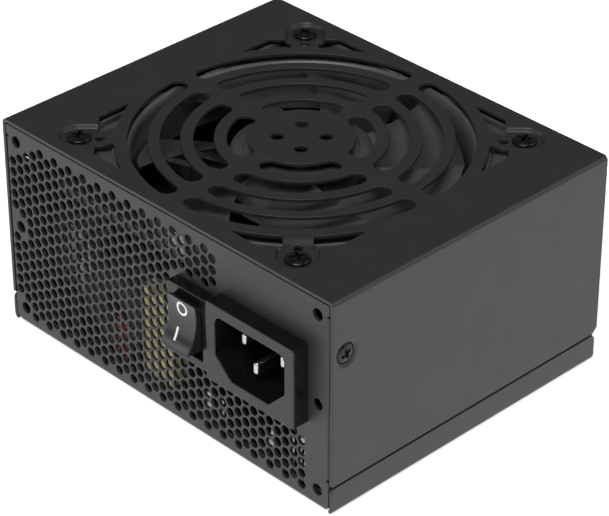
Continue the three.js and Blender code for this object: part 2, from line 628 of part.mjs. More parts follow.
function fanFrame() {
  const half = FAN.size / 2;
  const square = roundedRect(-half, -half, half, half, 4);
  const topFlange = slab(square, "xy", FAN_TOP - FAN.flange, FAN_TOP, 3);
  const lowFlange = slab(square, "xy", FAN_LOW, FAN_LOW + FAN.flange, 3);
  const barrel = bar("z", half, FAN_LOW, FAN_TOP, [0, 0], 40);
  const bore = bar("z", FAN.bore, FAN_LOW - 1, FAN_TOP + 1, [0, 0], 40);
  const hole = bar("z", FAN.holeRadius, FAN_LOW - 1, FAN_TOP + 1, [(FAN.holeSpacing / 2) * Math.SQRT2, 0]);
  const duct = cut(join(topFlange, lowFlange, barrel), bore, ...atCorners(hole));
  const motorPlate = bar("z", ROTOR.hub + 0.5, FAN_LOW, FAN_LOW + 1.3, [0, 0], 24);
  const bearingTube = ring(2.95, 3.9, FAN_LOW + 1, FAN_LOW + 9.5, [0, 0], 12);
  const strut = block([ROTOR.hub, -1.6, FAN_LOW], [FAN.bore + 0.5, 1.6, FAN_LOW + 2]);
  const struts = [0, 90, 180, 270].map((angle) => strut.rotate([0, 0, angle + 20]));
  return join(duct, motorPlate, bearingTube, ...struts);
}

/** One blade: a thin box whose length is bent round the hub, swept, and pitched like a screw. */
function fanBlade(startAngle) {
  const slices = 4;
  const box = new THREE.BoxGeometry(1, 1, 1, slices, slices, 1);
  const position = box.getAttribute("position");
  const root = ROTOR.hub - 0.6;
  for (let i = 0; i < position.count; i++) {
    const along = position.getX(i) + 0.5;
    const chord = position.getY(i) + 0.5;
    const radius = root + (ROTOR.tip - root) * along;
    const rise = ROTOR.rise * (1 - 0.12 * along);
    const angle = degrees(startAngle + ROTOR.sweep * (along - 0.8) - ROTOR.span * (1 - chord));
    const height = FAN_TOP - 1.2 - rise * (1 - chord) - 0.6 * Math.sin(Math.PI * chord);
    const lift = position.getZ(i) * ROTOR.thick;
    position.setXYZ(i, radius * Math.cos(angle), radius * Math.sin(angle), height + lift);
  }
  return solidOf(box);
}

function fanRotor() {
  const hubTop = FAN_TOP - 0.9;
  const hub = ROTOR.hub;
  const cup = turned(
    [
      [hub - 1, FAN_LOW + 3],
      [hub, FAN_LOW + 3],
      [hub, hubTop - 1],
      [hub - 1, hubTop],
      [1.8, hubTop],
      [1.8, hubTop - 2.6],
      [3.4, hubTop - 2.6],
      [3.4, hubTop - 1],
      [hub - 1, hubTop - 1],
      [hub - 1, FAN_LOW + 3],
    ],
    [0, 0],
    24,
  );
  const blades = [];
  for (let n = 0; n < ROTOR.blades; n++) blades.push(fanBlade(82 + (360 * n) / ROTOR.blades));
  return join(cup, ...blades);
}

function fanStator() {
  const core = ring(4.2, 6.5, FAN_LOW + 4, FAN_LOW + 10, [0, 0], 16);
  const arm = block([6, -1.6, FAN_LOW + 5.4], [11.6, 1.6, FAN_LOW + 8.6]);
  const coil = block([6.9, -3.2, FAN_LOW + 4.2], [10.4, 3.2, FAN_LOW + 9.8]);
  const shoe = ring(11.2, 12.6, FAN_LOW + 5, FAN_LOW + 9, [0, 0], 24).intersect(
    block([8, -5.5, FAN_LOW], [14, 5.5, FAN_TOP]),
  );
  const poles = [0, 90, 180, 270].flatMap((angle) => [arm, coil, shoe].map((s) => s.rotate([0, 0, angle])));
  return join(core, ...poles);
}

addPart("fan_frame", fanFrame(), ...BLACK_PLASTIC);
addPart("fan_rotor", fanRotor(), 0x3a3b3c, 0.35);
addPart("rotor_yoke", ring(15, 15.8, FAN_LOW + 3.4, FAN_TOP - 2.3), ...BRIGHT_STEEL);
addPart("rotor_magnet", ring(13.2, 14.6, FAN_LOW + 3.6, FAN_TOP - 3), 0x2a2a2a, 0.8);
addPart("rotor_shaft", bar("z", 1.5, FAN_LOW + 2, FAN_TOP - 1.2, [0, 0]), ...BRIGHT_STEEL);
addPart("fan_bearing", ring(1.65, 2.75, FAN_LOW + 1.7, FAN_LOW + 9, [0, 0], 12), ...BRASS);
addPart("fan_stator", fanStator(), ...COPPER);
addPart("fan_circuit_board", ring(4.4, 13, FAN_LOW + 1.8, FAN_LOW + 2.6, [0, 0], 16), ...GREEN_BOARD);

// ---- Main board and the parts on it ----

function mainBoard() {
  const plate = block([-BOARD.x, BOARD.front, BOARD.z + 0.05], [BOARD.x, BOARD.back, BOARD_TOP]);
  const holes = BOARD.screwYs.flatMap((y) =>
    [-1, 1].map((side) => bar("z", 1.7, 0, 20, [side * BOARD.screwX, y], 12)),
  );
  return cut(plate, ...holes);
}

function insulationSheet() {
  const sheet = block([-60, -46, SHEET + 0.05], [60, 46, SHEET + 0.45]);
  const holes = BOARD.screwYs.flatMap((y) =>
    [-1, 1].map((side) => bar("z", 3.6, 0, 20, [side * BOARD.screwX, y], 12)),
  );
  return cut(sheet, ...holes);
}

/** A box-shaped part that stands on the board. */
const standing = ({ x, y, width, depth, height }) =>
  block([x - width / 2, y - depth / 2, SEATED], [x + width / 2, y + depth / 2, SEATED + height]);

/** A can-shaped capacitor that stands on the board. */
const can = ({ x, y, radius, height, sides }) => bar("z", radius, SEATED, SEATED + height, [x, y], sides);

/** A wound ring core that stands on its edge, its hole along Y, with two feet. */
function standingToroid({ x, y, inner, outer, thick }) {
  const round = 1.5;
  const half = thick / 2;
  const z = SEATED + outer + 0.6;
  const profile = [
    [inner, round - half],
    [inner + round, -half],
    [outer - round, -half],
    [outer, round - half],
    [outer, half - round],
    [outer - round, half],
    [inner + round, half],
    [inner, half - round],
    [inner, round - half],
  ];
  const donut = new THREE.LatheGeometry(profile.map(([r, h]) => new THREE.Vector2(r, h)), 16);
  const feet = block([x - 6, y - half + 1, SEATED], [x + 6, y + half - 1, SEATED + 2.4]);
  return join(solidOf(donut.translate(x, y, z)), feet);
}

/** A ferrite transformer: a core of two E halves round a taped winding, on a bobbin that stands on the board. */
function transformer({ x, y, width, depth, height }) {
  const box = (share, reach, tall, lift) =>
    standing({ x, y, width: width * share, depth: reach, height: tall }).translate([0, 0, lift]);
  const coreDepth = depth * 0.62;
  const core = cut(box(1, coreDepth, height, 0), box(0.72, coreDepth + 2, height - 5, 2.5));
  return join(core, box(0.76, depth, height - 6, 3), box(0.9, depth, 2.6, 0));
}

/** A heatsink of one upright plate with fins towards one side, 1 or -1 along Y. */
function heatsink({ x, y, width, height, fins, side }) {
  const thick = 1.4;
  const parts = [standing({ x, y, width, depth: 2.4, height })];
  for (let n = 0; n < fins; n++) {
    const finX = x - width / 2 + 0.8 + (n * (width - 1.6)) / (fins - 1);
    const fin = standing({ x: finX, y: y + side * 4, width: thick, depth: 6.4, height: height - 4 });
    parts.push(fin.translate([0, 0, 4]));
  }
  return join(...parts);
}

addPart("main_board", mainBoard(), ...GREEN_BOARD);
addPart("insulation_sheet", insulationSheet(), 0xd8d8cc, 0.4);
addPart("noise_filter_capacitor", standing(ON_BOARD.noiseFilterCapacitor), 0xc9b13c, 0.45);
addPart("common_mode_choke", standingToroid(ON_BOARD.commonModeChoke), 0x59402a, 0.5);
addPart("bridge_rectifier", standing(ON_BOARD.bridgeRectifier), 0x141414, 0.5);
addPart("rectifier_heatsink", heatsink(ON_BOARD.rectifierHeatsink), ...ALUMINIUM);
addPart("power_factor_choke", standingToroid(ON_BOARD.powerFactorChoke), 0x6e3b1d, 0.45);
addPart("bulk_capacitor", can(ON_BOARD.bulkCapacitor), 0x20242c, 0.35);
const finSpace = block([-HALF_W, -2, 0], [HALF_W, 12, TOP]);
addPart("primary_heatsink", heatsink(ON_BOARD.primaryHeatsink).intersect(finSpace), ...ALUMINIUM);
addPart("main_transformer", transformer(ON_BOARD.mainTransformer), 0x33312e, 0.7);
addPart("standby_transformer", transformer(ON_BOARD.standbyTransformer), 0x33312e, 0.7);
addPart("secondary_heatsink", heatsink(ON_BOARD.secondaryHeatsink), ...ALUMINIUM);
addPart("output_capacitor_1", can(ON_BOARD.outputCapacitor1), 0x2b3550, 0.35);
addPart("output_capacitor_2", can(ON_BOARD.outputCapacitor2), 0x2b3550, 0.35);
addPart("output_choke", standingToroid(ON_BOARD.outputChoke), 0x7c4a22, 0.45);
addPart("converter_board", standing(ON_BOARD.converterBoard), ...GREEN_BOARD);

// ---- Wires inside ----

const PIN_END = INLET_BACK + 6.3;
const lineRoute = [
  [INLET.x - 7, PIN_END, INLET.z + 2],
  [INLET.x - 7, PIN_END + 1.7, INLET.z + 1],
  [26, -26.5, 34],
  [18, -26.5, 33.5],
  [14, -27.6, 35.2],
];
const neutralRoute = [
  [INLET.x + 7, PIN_END, INLET.z + 2],
  [INLET.x + 7.4, PIN_END + 1.2, INLET.z - 2],
  [INLET.x + 9, PIN_END - 0.3, 22],
  [INLET.x + 9.6, PIN_END - 3.3, 12],
  [INLET.x + 9.6, PIN_END - 3.7, SEATED + 0.2],
];
const earthRoute = [
  [INLET.x, PIN_END, INLET.z - 2.2],
  [INLET.x, PIN_END + 0.7, INLET.z - 6],
  [INLET.x - 1, PIN_END - 2.3, 20],
  [INLET.x - 1, PIN_END - 7.3, 12],
  [INLET.x - 1, PIN_END - 8.3, SEATED + 0.2],
];
const fanRoute = [
  [-30, -44.6, FAN_LOW - 1.4],
  [-32, -45.2, 43],
  [-35.5, -46.7, 34],
  [-40, -46.4, 20],
  [-40.2, -45.6, SEATED + 0.3],
];
addPart("line_wire", wire(lineRoute, MAINS_WIRE, 10), 0x6b3a20);
addPart("neutral_wire", wire(neutralRoute, MAINS_WIRE, 10), 0x2b4f8f);
addPart("earth_wire", wire(earthRoute, MAINS_WIRE, 10), 0x8fa83a);
addPart("fan_lead", wire(fanRoute, FAN_WIRE, 14), 0x202020);

export default powerSupply;
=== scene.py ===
import math

import bmesh
import bpy
import numpy as np
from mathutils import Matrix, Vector
from mathutils.geometry import delaunay_2d_cdt


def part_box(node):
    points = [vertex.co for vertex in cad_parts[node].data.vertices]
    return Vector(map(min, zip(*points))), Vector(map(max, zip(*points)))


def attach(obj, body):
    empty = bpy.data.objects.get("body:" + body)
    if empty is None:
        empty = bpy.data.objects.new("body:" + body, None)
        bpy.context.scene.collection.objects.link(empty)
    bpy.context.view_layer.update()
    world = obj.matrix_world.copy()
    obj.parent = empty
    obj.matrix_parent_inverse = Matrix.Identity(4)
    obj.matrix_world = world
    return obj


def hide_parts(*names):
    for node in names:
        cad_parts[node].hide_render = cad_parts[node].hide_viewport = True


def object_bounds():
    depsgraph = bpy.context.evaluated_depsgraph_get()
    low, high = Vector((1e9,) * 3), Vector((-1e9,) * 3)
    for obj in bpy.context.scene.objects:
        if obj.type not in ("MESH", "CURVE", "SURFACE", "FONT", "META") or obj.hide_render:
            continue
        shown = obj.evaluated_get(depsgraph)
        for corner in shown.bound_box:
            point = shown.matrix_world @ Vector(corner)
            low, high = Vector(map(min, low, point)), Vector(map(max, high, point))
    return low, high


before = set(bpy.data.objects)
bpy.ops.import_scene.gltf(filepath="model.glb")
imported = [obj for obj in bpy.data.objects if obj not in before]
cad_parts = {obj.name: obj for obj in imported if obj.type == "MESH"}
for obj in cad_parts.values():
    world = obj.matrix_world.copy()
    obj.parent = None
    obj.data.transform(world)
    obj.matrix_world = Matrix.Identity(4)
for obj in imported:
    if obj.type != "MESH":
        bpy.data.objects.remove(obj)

CAD_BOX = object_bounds()

bl_info = {
    "name": "Compact power supply",
    "version": (1, 0, 0),
    "blender": (4, 5, 0),
    "location": "3D View > Sidebar > Power Supply",
    "description": "Builds the surfaces and finishes of a compact computer power supply",
    "category": "Object",
}

MM = 0.001


# ---- Outlines: closed loops of points, with the material on their left ----

def arc(centre, radius, start, end, steps):
    """Points centre + radius (cos a, sin a), with the angle a going evenly from start to end, in degrees."""
    a = np.radians(np.linspace(start, end, steps + 1))[:, None]
    return np.asarray(centre, float) + radius * np.hstack([np.cos(a), np.sin(a)])


def circle(centre, radius, steps=32):
    """A counterclockwise circle."""
    return arc(centre, radius, 0, 360, steps)[:-1]


def rounded(corners, radii, steps=4):
    """A polygon whose corners are rounded: each is a parabola between the points where a circle would touch.

    A circle of radius r touches the sides r tan(turn / 2) from the corner. A corner of radius 0 stays one point.
    """
    corners = np.asarray(corners, float)
    radii = np.broadcast_to(np.asarray(radii, float), len(corners))
    to_next = np.roll(corners, -1, 0) - corners
    to_next /= np.linalg.norm(to_next, axis=1, keepdims=True)
    to_last = -np.roll(to_next, 1, 0)
    turn = np.pi - np.arccos(np.clip((to_next * to_last).sum(1), -1, 1))
    reach = (radii * np.tan(turn / 2))[:, None, None]
    t = np.linspace(0, 1, steps + 1)[None, :, None]
    curves = corners[:, None] + reach * (to_last[:, None] * (1 - t) ** 2 + to_next[:, None] * t**2)
    keep = (radii[:, None] > 0) | (np.arange(steps + 1) == 0)
    return curves[keep]


def rectangle(low, high, radius=0.0, steps=4):
    """A counterclockwise rectangle between two corners, its own corners rounded."""
    (x0, y0), (x1, y1) = low, high
    return rounded([(x0, y0), (x1, y0), (x1, y1), (x0, y1)], radius, steps)


def divided(loop, spacing):
    """The same loop with points added on its sides, so that none is longer than spacing."""
    sides = np.roll(loop, -1, 0) - loop
    counts = np.ceil(np.linalg.norm(sides, axis=1) / spacing).astype(int)
    side = np.repeat(np.arange(len(loop)), counts)
    first = np.repeat(np.cumsum(counts) - counts, counts)
    share = (np.arange(len(side)) - first) / counts[side]
    return loop[side] + share[:, None] * sides[side]


def area(loop):
    """Twice the area inside a loop, positive where it runs counterclockwise."""
    after = np.roll(loop, -1, 0)
    return (loop[:, 0] * after[:, 1] - after[:, 0] * loop[:, 1]).sum()


def inset(loop, distance):
    """Each point moved to its left by the mitre of its two sides: (m + n) / (1 + m.n) for their normals m and n."""
    side = np.roll(loop, -1, 0) - loop
    side /= np.linalg.norm(side, axis=1, keepdims=True)
    n = np.stack([-side[:, 1], side[:, 0]], 1)
    m = np.roll(n, 1, 0)
    mitre = (m + n) / (1 + (m * n).sum(1, keepdims=True))
    return loop + distance * mitre, mitre / np.linalg.norm(mitre, axis=1, keepdims=True)


def inside_loops(points, loops):
    """For each point, whether a line from it towards +u crosses the loops' sides an odd number of times."""
    a = np.concatenate(loops)
    b = np.concatenate([np.roll(loop, -1, 0) for loop in loops])
    odd = np.zeros(len(points), bool)
    for rows in np.array_split(np.arange(len(points)), max(1, len(points) // 2000)):
        u, v = points[rows, 0, None], points[rows, 1, None]
        spans = (a[:, 1] > v) != (b[:, 1] > v)
        rise = np.where(a[:, 1] == b[:, 1], 1, b[:, 1] - a[:, 1])
        cross = a[:, 0] + (v - a[:, 1]) * (b[:, 0] - a[:, 0]) / rise
        odd[rows] = (spans & (u < cross)).sum(1) % 2 == 1
    return odd


# ---- Meshes ----

def new_piece(name, points, faces, normals=None, smooth=30):
    """A mesh object from points in millimetres. Its normals are given, or smooth up to an angle in degrees."""
    mesh = bpy.data.meshes.new(name)
    mesh.from_pydata((np.asarray(points) * MM).tolist(), [], [list(map(int, face)) for face in faces])
    mesh.validate()
    mesh.polygons.foreach_set("use_smooth", np.ones(len(mesh.polygons), bool))
    if normals is not None:
        mesh.normals_split_custom_set_from_vertices(normals.tolist())
    else:
        mesh.set_sharp_from_angle(angle=math.radians(smooth))
    mesh.update()
    piece = bpy.data.objects.new(name, mesh)
    bpy.context.scene.collection.objects.link(piece)
    return piece


def plate(name, loops, thick, place, rounding=0.15, steps=2, guides=None, back_rounding=None):
    """A sheet with holes and rounded edges, cut flat and then put in its place.

    The flat sheet has coordinates u, v and the depth w below its face. Its edge is a profile carried along every
    loop: a quarter circle of inset r (1 - sin a) and depth r (1 - cos a), the straight wall, and the same at the
    back. place(u, v, w) gives the points in space, and the normals follow from its derivatives. The first loop is
    the outer one, and the others are holes.
    """
    loops = [loop[::-1] if (area(loop) > 0) == bool(n) else loop for n, loop in enumerate(loops)]
    back = rounding if back_rounding is None else back_rounding
    a = np.radians(np.linspace(0, 90, steps + 1))
    insets = np.concatenate([rounding * (1 - np.sin(a)), back * (1 - np.sin(a[::-1]))])
    depths = np.concatenate([rounding * (1 - np.cos(a)), thick - back * (1 - np.cos(a[::-1]))])
    sideways = np.concatenate([np.sin(a), np.sin(a[::-1])])
    upright = np.concatenate([-np.cos(a), np.cos(a[::-1])])

    sizes = [len(loop) for loop in loops]
    total = sum(sizes)
    flat, normal = [], []
    for inner, depth, side, up in zip(insets, depths, sideways, upright):
        moved = [inset(loop, inner) for loop in loops]
        uv = np.concatenate([m[0] for m in moved])
        out = -np.concatenate([m[1] for m in moved])
        flat.append(np.column_stack([uv, np.full(total, depth)]))
        normal.append(np.column_stack([out * side, np.full(total, up)]))

    starts = np.repeat(np.cumsum([0] + sizes[:-1]), sizes)
    lengths = np.repeat(sizes, sizes)
    here = np.arange(total)
    after = starts + (here - starts + 1) % lengths
    levels = len(insets)
    quads = [
        np.column_stack([here, here + total, after + total, after]) + level * total
        for level in range(levels - 1)
    ]

    rim = flat[0][:, :2]
    extra = np.zeros((0, 2)) if guides is None else np.asarray(guides, float)
    if len(extra):
        extra = extra[inside_loops(extra, [inset(loop, rounding + 0.12)[0] for loop in loops])]
    cap_points = np.concatenate([rim, extra])
    made = delaunay_2d_cdt(
        [Vector(p) for p in cap_points.tolist()], np.column_stack([here, after]).tolist(), [], 0, 1e-7
    )
    if len(made[0]) != len(cap_points):
        raise RuntimeError(f"{name}: the outline crosses itself")
    origin = np.array([ids[0] for ids in made[3]])
    triangles = origin[np.array([f for f in made[2] if len(f) == 3])]
    bounds = np.split(rim, np.cumsum(sizes)[:-1])
    triangles = triangles[inside_loops(cap_points[triangles].mean(1), bounds)]

    guide_from = levels * total
    front = np.where(triangles < total, triangles, triangles - total + guide_from)
    rear = np.where(
        triangles < total,
        triangles + (levels - 1) * total,
        triangles - total + guide_from + len(extra),
    )
    flat += [np.column_stack([extra, np.full(len(extra), w)]) for w in (0, thick)]
    normal += [np.column_stack([extra * 0, np.full(len(extra), n)]) for n in (-1, 1)]
    flat, normal = np.concatenate(flat), np.concatenate(normal)

    u, v, w = flat.T
    h = 1e-4
    along_u = (place(u + h, v, w) - place(u - h, v, w)) / (2 * h)
    along_v = (place(u, v + h, w) - place(u, v - h, w)) / (2 * h)
    along_w = (place(u, v, w + h) - place(u, v, w - h)) / (2 * h)
    turned = (
        normal[:, :1] * np.cross(along_v, along_w)
        + normal[:, 1:2] * np.cross(along_w, along_u)
        + normal[:, 2:] * np.cross(along_u, along_v)
    )
    turned /= -np.linalg.norm(turned, axis=1, keepdims=True)
    faces = np.concatenate(quads).tolist() + front.tolist() + rear[:, ::-1].tolist()
    return new_piece(name, place(u, v, w), faces, turned)


def grid(name, points, around=True, ends=True, smooth=40):
    """A surface over a grid of points (rows, columns, 3). around joins the last column to the first, and ends
    closes the first and the last row with a face."""
    rows, columns = points.shape[:2]
    index = np.arange(rows * columns).reshape(rows, columns)
    beside = np.roll(index, -1, 1) if around else index[:, 1:]
    here = index if around else index[:, :-1]
    quads = np.stack([here[:-1], beside[:-1], beside[1:], here[1:]], -1).reshape(-1, 4).tolist()
    if ends:
        quads += [index[0, ::-1].tolist(), index[-1].tolist()]
    return new_piece(name, points.reshape(-1, 3), quads, smooth=smooth)


def lathe(name, profile, centre=(0, 0), sides=64, smooth=30):
    """A closed profile of (radius, height) turned about the vertical: x, y = centre + radius (cos a, sin a)."""
    profile = np.asarray(profile, float)
    a = np.linspace(0, 2 * np.pi, sides, endpoint=False)
    r, z = profile[:, 0, None], profile[:, 1, None]
    points = np.stack([centre[0] + r * np.cos(a), centre[1] + r * np.sin(a), z + 0 * a], -1)
    rows = np.concatenate([points, points[:1]]) if profile[0, 0] > 1e-6 else points
    piece = grid(name, rows, ends=profile[0, 0] <= 1e-6, smooth=smooth)
    return merged(piece, smooth)


def merged(piece, smooth=30):
    """The same piece with its doubled points merged and its faces turned outwards."""
    work = bmesh.new()
    work.from_mesh(piece.data)
    bmesh.ops.remove_doubles(work, verts=work.verts, dist=1e-7)
    bmesh.ops.dissolve_degenerate(work, edges=work.edges, dist=1e-8)
    bmesh.ops.recalc_face_normals(work, faces=work.faces)
    work.to_mesh(piece.data)
    work.free()
    piece.data.polygons.foreach_set("use_smooth", np.ones(len(piece.data.polygons), bool))
    piece.data.set_sharp_from_angle(angle=math.radians(smooth))
    return piece


def joined(name, pieces):
    """Several pieces as one object, which keeps their materials."""
    with bpy.context.temp_override(active_object=pieces[0], selected_editable_objects=pieces):
        bpy.ops.object.join()
    pieces[0].name = name
    return pieces[0]


def finish_piece(piece, material, body="root", replaces=()):
    """Gives a piece its material and its body, and hides the CAD nodes that it stands for."""
    if not piece.data.materials:
        piece.data.materials.append(material)
    for node in replaces:
        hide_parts(node)
    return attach(piece, body)


def flat_place(origin, across, up):
    """A place for plates that stay flat: origin + u across + v up - w (across x up)."""
    origin, across, up = (np.asarray(x, float) for x in (origin, across, up))
    out = np.cross(across, up)

    def place(u, v, w):
        return origin + u[:, None] * across + v[:, None] * up - w[:, None] * out

    return place


def smoothstep(x):
    """0 below 0, 1 above 1, and 3x^2 - 2x^3 between."""
    x = np.clip(x, 0, 1)
    return x * x * (3 - 2 * x)


# ---- Finishes ----

def finish(name, colour, roughness, metallic=0.0, grain=0.3, depth=0.01, mottle=0.12, spread=0.08, patch=6.0, **shader):
    """A procedural finish: a base colour that drifts in soft patches, a roughness that drifts with it, and a
    grain of bumps.

    grain and patch are sizes in millimetres, depth the height of the grain in millimetres, mottle the share by
    which the colour varies and spread the roughness's range. Other values go to the shader's own sockets.
    """
    made = bpy.data.materials.new(name)
    made.use_nodes = True
    made.diffuse_color = (*colour, 1)
    tree = made.node_tree
    surface = tree.nodes["Principled BSDF"]
    surface.inputs["Metallic"].default_value = metallic
    for socket, value in shader.items():
        surface.inputs[socket.replace("_", " ")].default_value = value
    place = tree.nodes.new("ShaderNodeTexCoord").outputs["Object"]

    def noise(size, detail):
        node = tree.nodes.new("ShaderNodeTexNoise")
        node.inputs["Scale"].default_value = 1 / (size * MM)
        node.inputs["Detail"].default_value = detail
        tree.links.new(place, node.inputs["Vector"])
        return node.outputs["Fac"]

    def ranged(value, low, high):
        node = tree.nodes.new("ShaderNodeMapRange")
        node.inputs["From Min"].default_value = 0.3
        node.inputs["From Max"].default_value = 0.7
        node.inputs["To Min"].default_value = low
        node.inputs["To Max"].default_value = high
        tree.links.new(value, node.inputs["Value"])
        return node.outputs["Result"]

    patches = noise(patch, 4)
    shades = tree.nodes.new("ShaderNodeMix")
    shades.data_type = "RGBA"
    shades.inputs[6].default_value = (*(c * (1 - mottle) for c in colour), 1)
    shades.inputs[7].default_value = (*(min(1, c * (1 + mottle)) for c in colour), 1)
    tree.links.new(ranged(patches, 0, 1), shades.inputs["Factor"])
    tree.links.new(shades.outputs[2], surface.inputs["Base Color"])
    tree.links.new(ranged(patches, roughness - spread / 2, roughness + spread / 2), surface.inputs["Roughness"])

    bump = tree.nodes.new("ShaderNodeBump")
    bump.inputs["Distance"].default_value = depth * MM
    tree.links.new(noise(grain, 2), bump.inputs["Height"])
    tree.links.new(bump.outputs["Normal"], surface.inputs["Normal"])
    return made


# ---- Settings ----

def length(name, description, default_mm):
    """A length setting, given in millimetres and held in metres."""
    return bpy.props.FloatProperty(
        name=name, description=description, default=default_mm * MM, unit="LENGTH", subtype="DISTANCE", precision=5
    )


def colour(name, description, default):
    """A colour setting."""
    return bpy.props.FloatVectorProperty(
        name=name, description=description, default=default, subtype="COLOR", size=3, min=0, max=1
    )


class PSU_PG_case(bpy.types.PropertyGroup):
    sheet: length("Sheet", "Thickness of the steel sheet", 1.0)
    bend: length("Bend", "Outer radius of the folds", 1.5)
    edge: length("Edge", "Rounding of the sheet's cut edges", 0.16)
    seat_depth: length("Seat depth", "How far the fan screws' seats are pressed in", 1.2)
    seat_half: length("Seat half width", "Half width of a seat's floor", 4.75)
    shoulder: length("Shoulder", "Width of the pressed shoulders", 0.95)
    rim: length("Grille rim", "Outer radius of the grille's last ring", 49.2)
    paint: colour("Paint", "Powder coat on the sheet", (0.021, 0.021, 0.022))


class PSU_PG_vent(bpy.types.PropertyGroup):
    pitch: length("Row pitch", "Distance between holes along a column", 3.385)
    column: length("Column pitch", "Distance between columns of holes", 2.91)
    across: length("Hole width", "Width of a hole across its flats", 2.52)
    soft: length("Corner rounding", "Rounding of a hole's corners", 0.5)


class PSU_PG_fan(bpy.types.PropertyGroup):
    blades: bpy.props.IntProperty(name="Blades", description="Number of blades", default=7, min=3, max=13)
    hub: length("Hub radius", "Outer radius of the hub", 19.0)
    tip: length("Tip radius", "Radius of the blade tips", 43.2)
    bore: length("Bore", "Inner radius of the duct", 44.6)
    rise: length("Blade rise", "Height from a blade's trailing edge to its leading edge", 8.4)
    thick: length("Blade thickness", "Greatest thickness of a blade", 1.3)
    span: bpy.props.FloatProperty(
        name="Blade span", description="Turn from a blade's leading edge to its trailing edge",
        default=math.radians(40), subtype="ANGLE",
    )
    sweep: bpy.props.FloatProperty(
        name="Sweep", description="Turn of the leading edge from the hub to the tip",
        default=math.radians(16), subtype="ANGLE",
    )
    plastic: colour("Blades", "Plastic of the rotor", (0.055, 0.055, 0.056))


class PSU_PG_switch(bpy.types.PropertyGroup):
    tilt: bpy.props.FloatProperty(
        name="Tilt", description="Turn of the rocker from level to off", default=math.radians(14), subtype="ANGLE"
    )
    face: length("Face radius", "Radius of the rocker's hollow face", 16.0)
    print_colour: colour("Marks", "Printed marks on the rocker", (0.78, 0.78, 0.77))


class PSU_PG_stage(bpy.types.PropertyGroup):
    floor: colour("Floor", "Plain floor", (0.90, 0.90, 0.90))
    glow: bpy.props.FloatProperty(name="Glow", description="Light that the floor gives by itself", default=0.72, min=0)
    sky: bpy.props.FloatProperty(name="Sky", description="Light from all round", default=0.165, min=0)
    lens: bpy.props.FloatProperty(
        name="Lens", description="Focal length of the camera", default=165.34, min=20, subtype="DISTANCE_CAMERA"
    )
    azimuth: bpy.props.FloatProperty(
        name="Azimuth", description="Camera's turn round the object", default=math.radians(45.912), subtype="ANGLE"
    )
    elevation: bpy.props.FloatProperty(
        name="Elevation", description="Camera's height angle", default=math.radians(32.581), subtype="ANGLE"
    )
    distance: length("Distance", "Camera's distance from the middle of the object", 749.32)


class PSU_PG_settings(bpy.types.PropertyGroup):
    case: bpy.props.PointerProperty(type=PSU_PG_case, name="Case", description="Folded steel case")
    vent: bpy.props.PointerProperty(type=PSU_PG_vent, name="Vent", description="Perforated field")
    fan: bpy.props.PointerProperty(type=PSU_PG_fan, name="Fan", description="Cooling fan")
    switch: bpy.props.PointerProperty(type=PSU_PG_switch, name="Switch", description="Rocker switch")
    stage: bpy.props.PointerProperty(type=PSU_PG_stage, name="Stage", description="Floor, lights and camera")


def settings():
    """The scene's settings for the power supply."""
    return bpy.context.scene.power_supply


def span(node):
    """The lowest and highest corner of a node, in millimetres."""
    low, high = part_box(node)
    return np.array(low) / MM, np.array(high) / MM


COVER_LOW, COVER_HIGH = span("top_cover")
HALF_WIDTH, HALF_DEPTH, TOP = COVER_HIGH
FAN_LOW, FAN_TOP = span("fan_frame")[0][2], span("fan_frame")[1][2]
SCREW_AT = span("fan_screw_back_right")[0][:2] / 2 + span("fan_screw_back_right")[1][:2] / 2
MOUNT_HOLES = [(side * 57.2, height) for side in (-1, 1) for height in (5.4, 31.6, 58)]
SIDE_SCREW = (span("cover_screw_right")[0] + span("cover_screw_right")[1])[1:] / 2
CORNERS = [("front_left", -1, -1), ("front_right", 1, -1), ("back_left", -1, 1), ("back_right", 1, 1)]


COVER_LOW, COVER_HIGH = span("top_cover")
PANEL_HIGH = span("inlet_panel")[1]
HALF_WIDTH, HALF_DEPTH, TOP = COVER_HIGH
STRIP_TOP = span("base_floor")[1][2]
FAN_LOW, FAN_TOP = span("fan_frame")[0][2], span("fan_frame")[1][2]
FAN_SCREW = np.add(*span("fan_screw_back_right"))[:2] / 2
MOUNT_HOLES = [(side * 57.2, height) for side in (-1, 1) for height in (5.4, 31.6, 58)]
SIDE_SCREW = np.add(*span("cover_screw_right"))[1:] / 2
CORNERS = [("front_left", -1, -1), ("front_right", 1, -1), ("back_left", -1, 1), ("back_right", 1, 1)]
SOCKETS = {name: span(name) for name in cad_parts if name.endswith(("_socket", "_socket_1", "_socket_2"))}
MATERIALS = {}


# ---- Top cover ----

def ring_slot(inner, outer, quadrant):
    """A slot between two radii in one quadrant, whose half-round ends stop 2.25 mm from the axes."""
    middle, cap = (inner + outer) / 2, (outer - inner) / 2
    trim = math.degrees(math.asin((2.25 + cap) / middle))
    start, end = 90 * quadrant + trim, 90 * quadrant + 90 - trim
    steps = max(10, int(outer * 0.8))
    first, last = (middle * arc((0, 0), 1, a, a, 0)[0] for a in (start, end))
    return np.concatenate([
        arc((0, 0), outer, start, end, steps)[:-1],
        arc(last, cap, end, end + 180, 10)[:-1],
        arc((0, 0), inner, end, start, steps)[:-1],
        arc(first, cap, start + 180, start + 360, 10)[:-1],
    ])


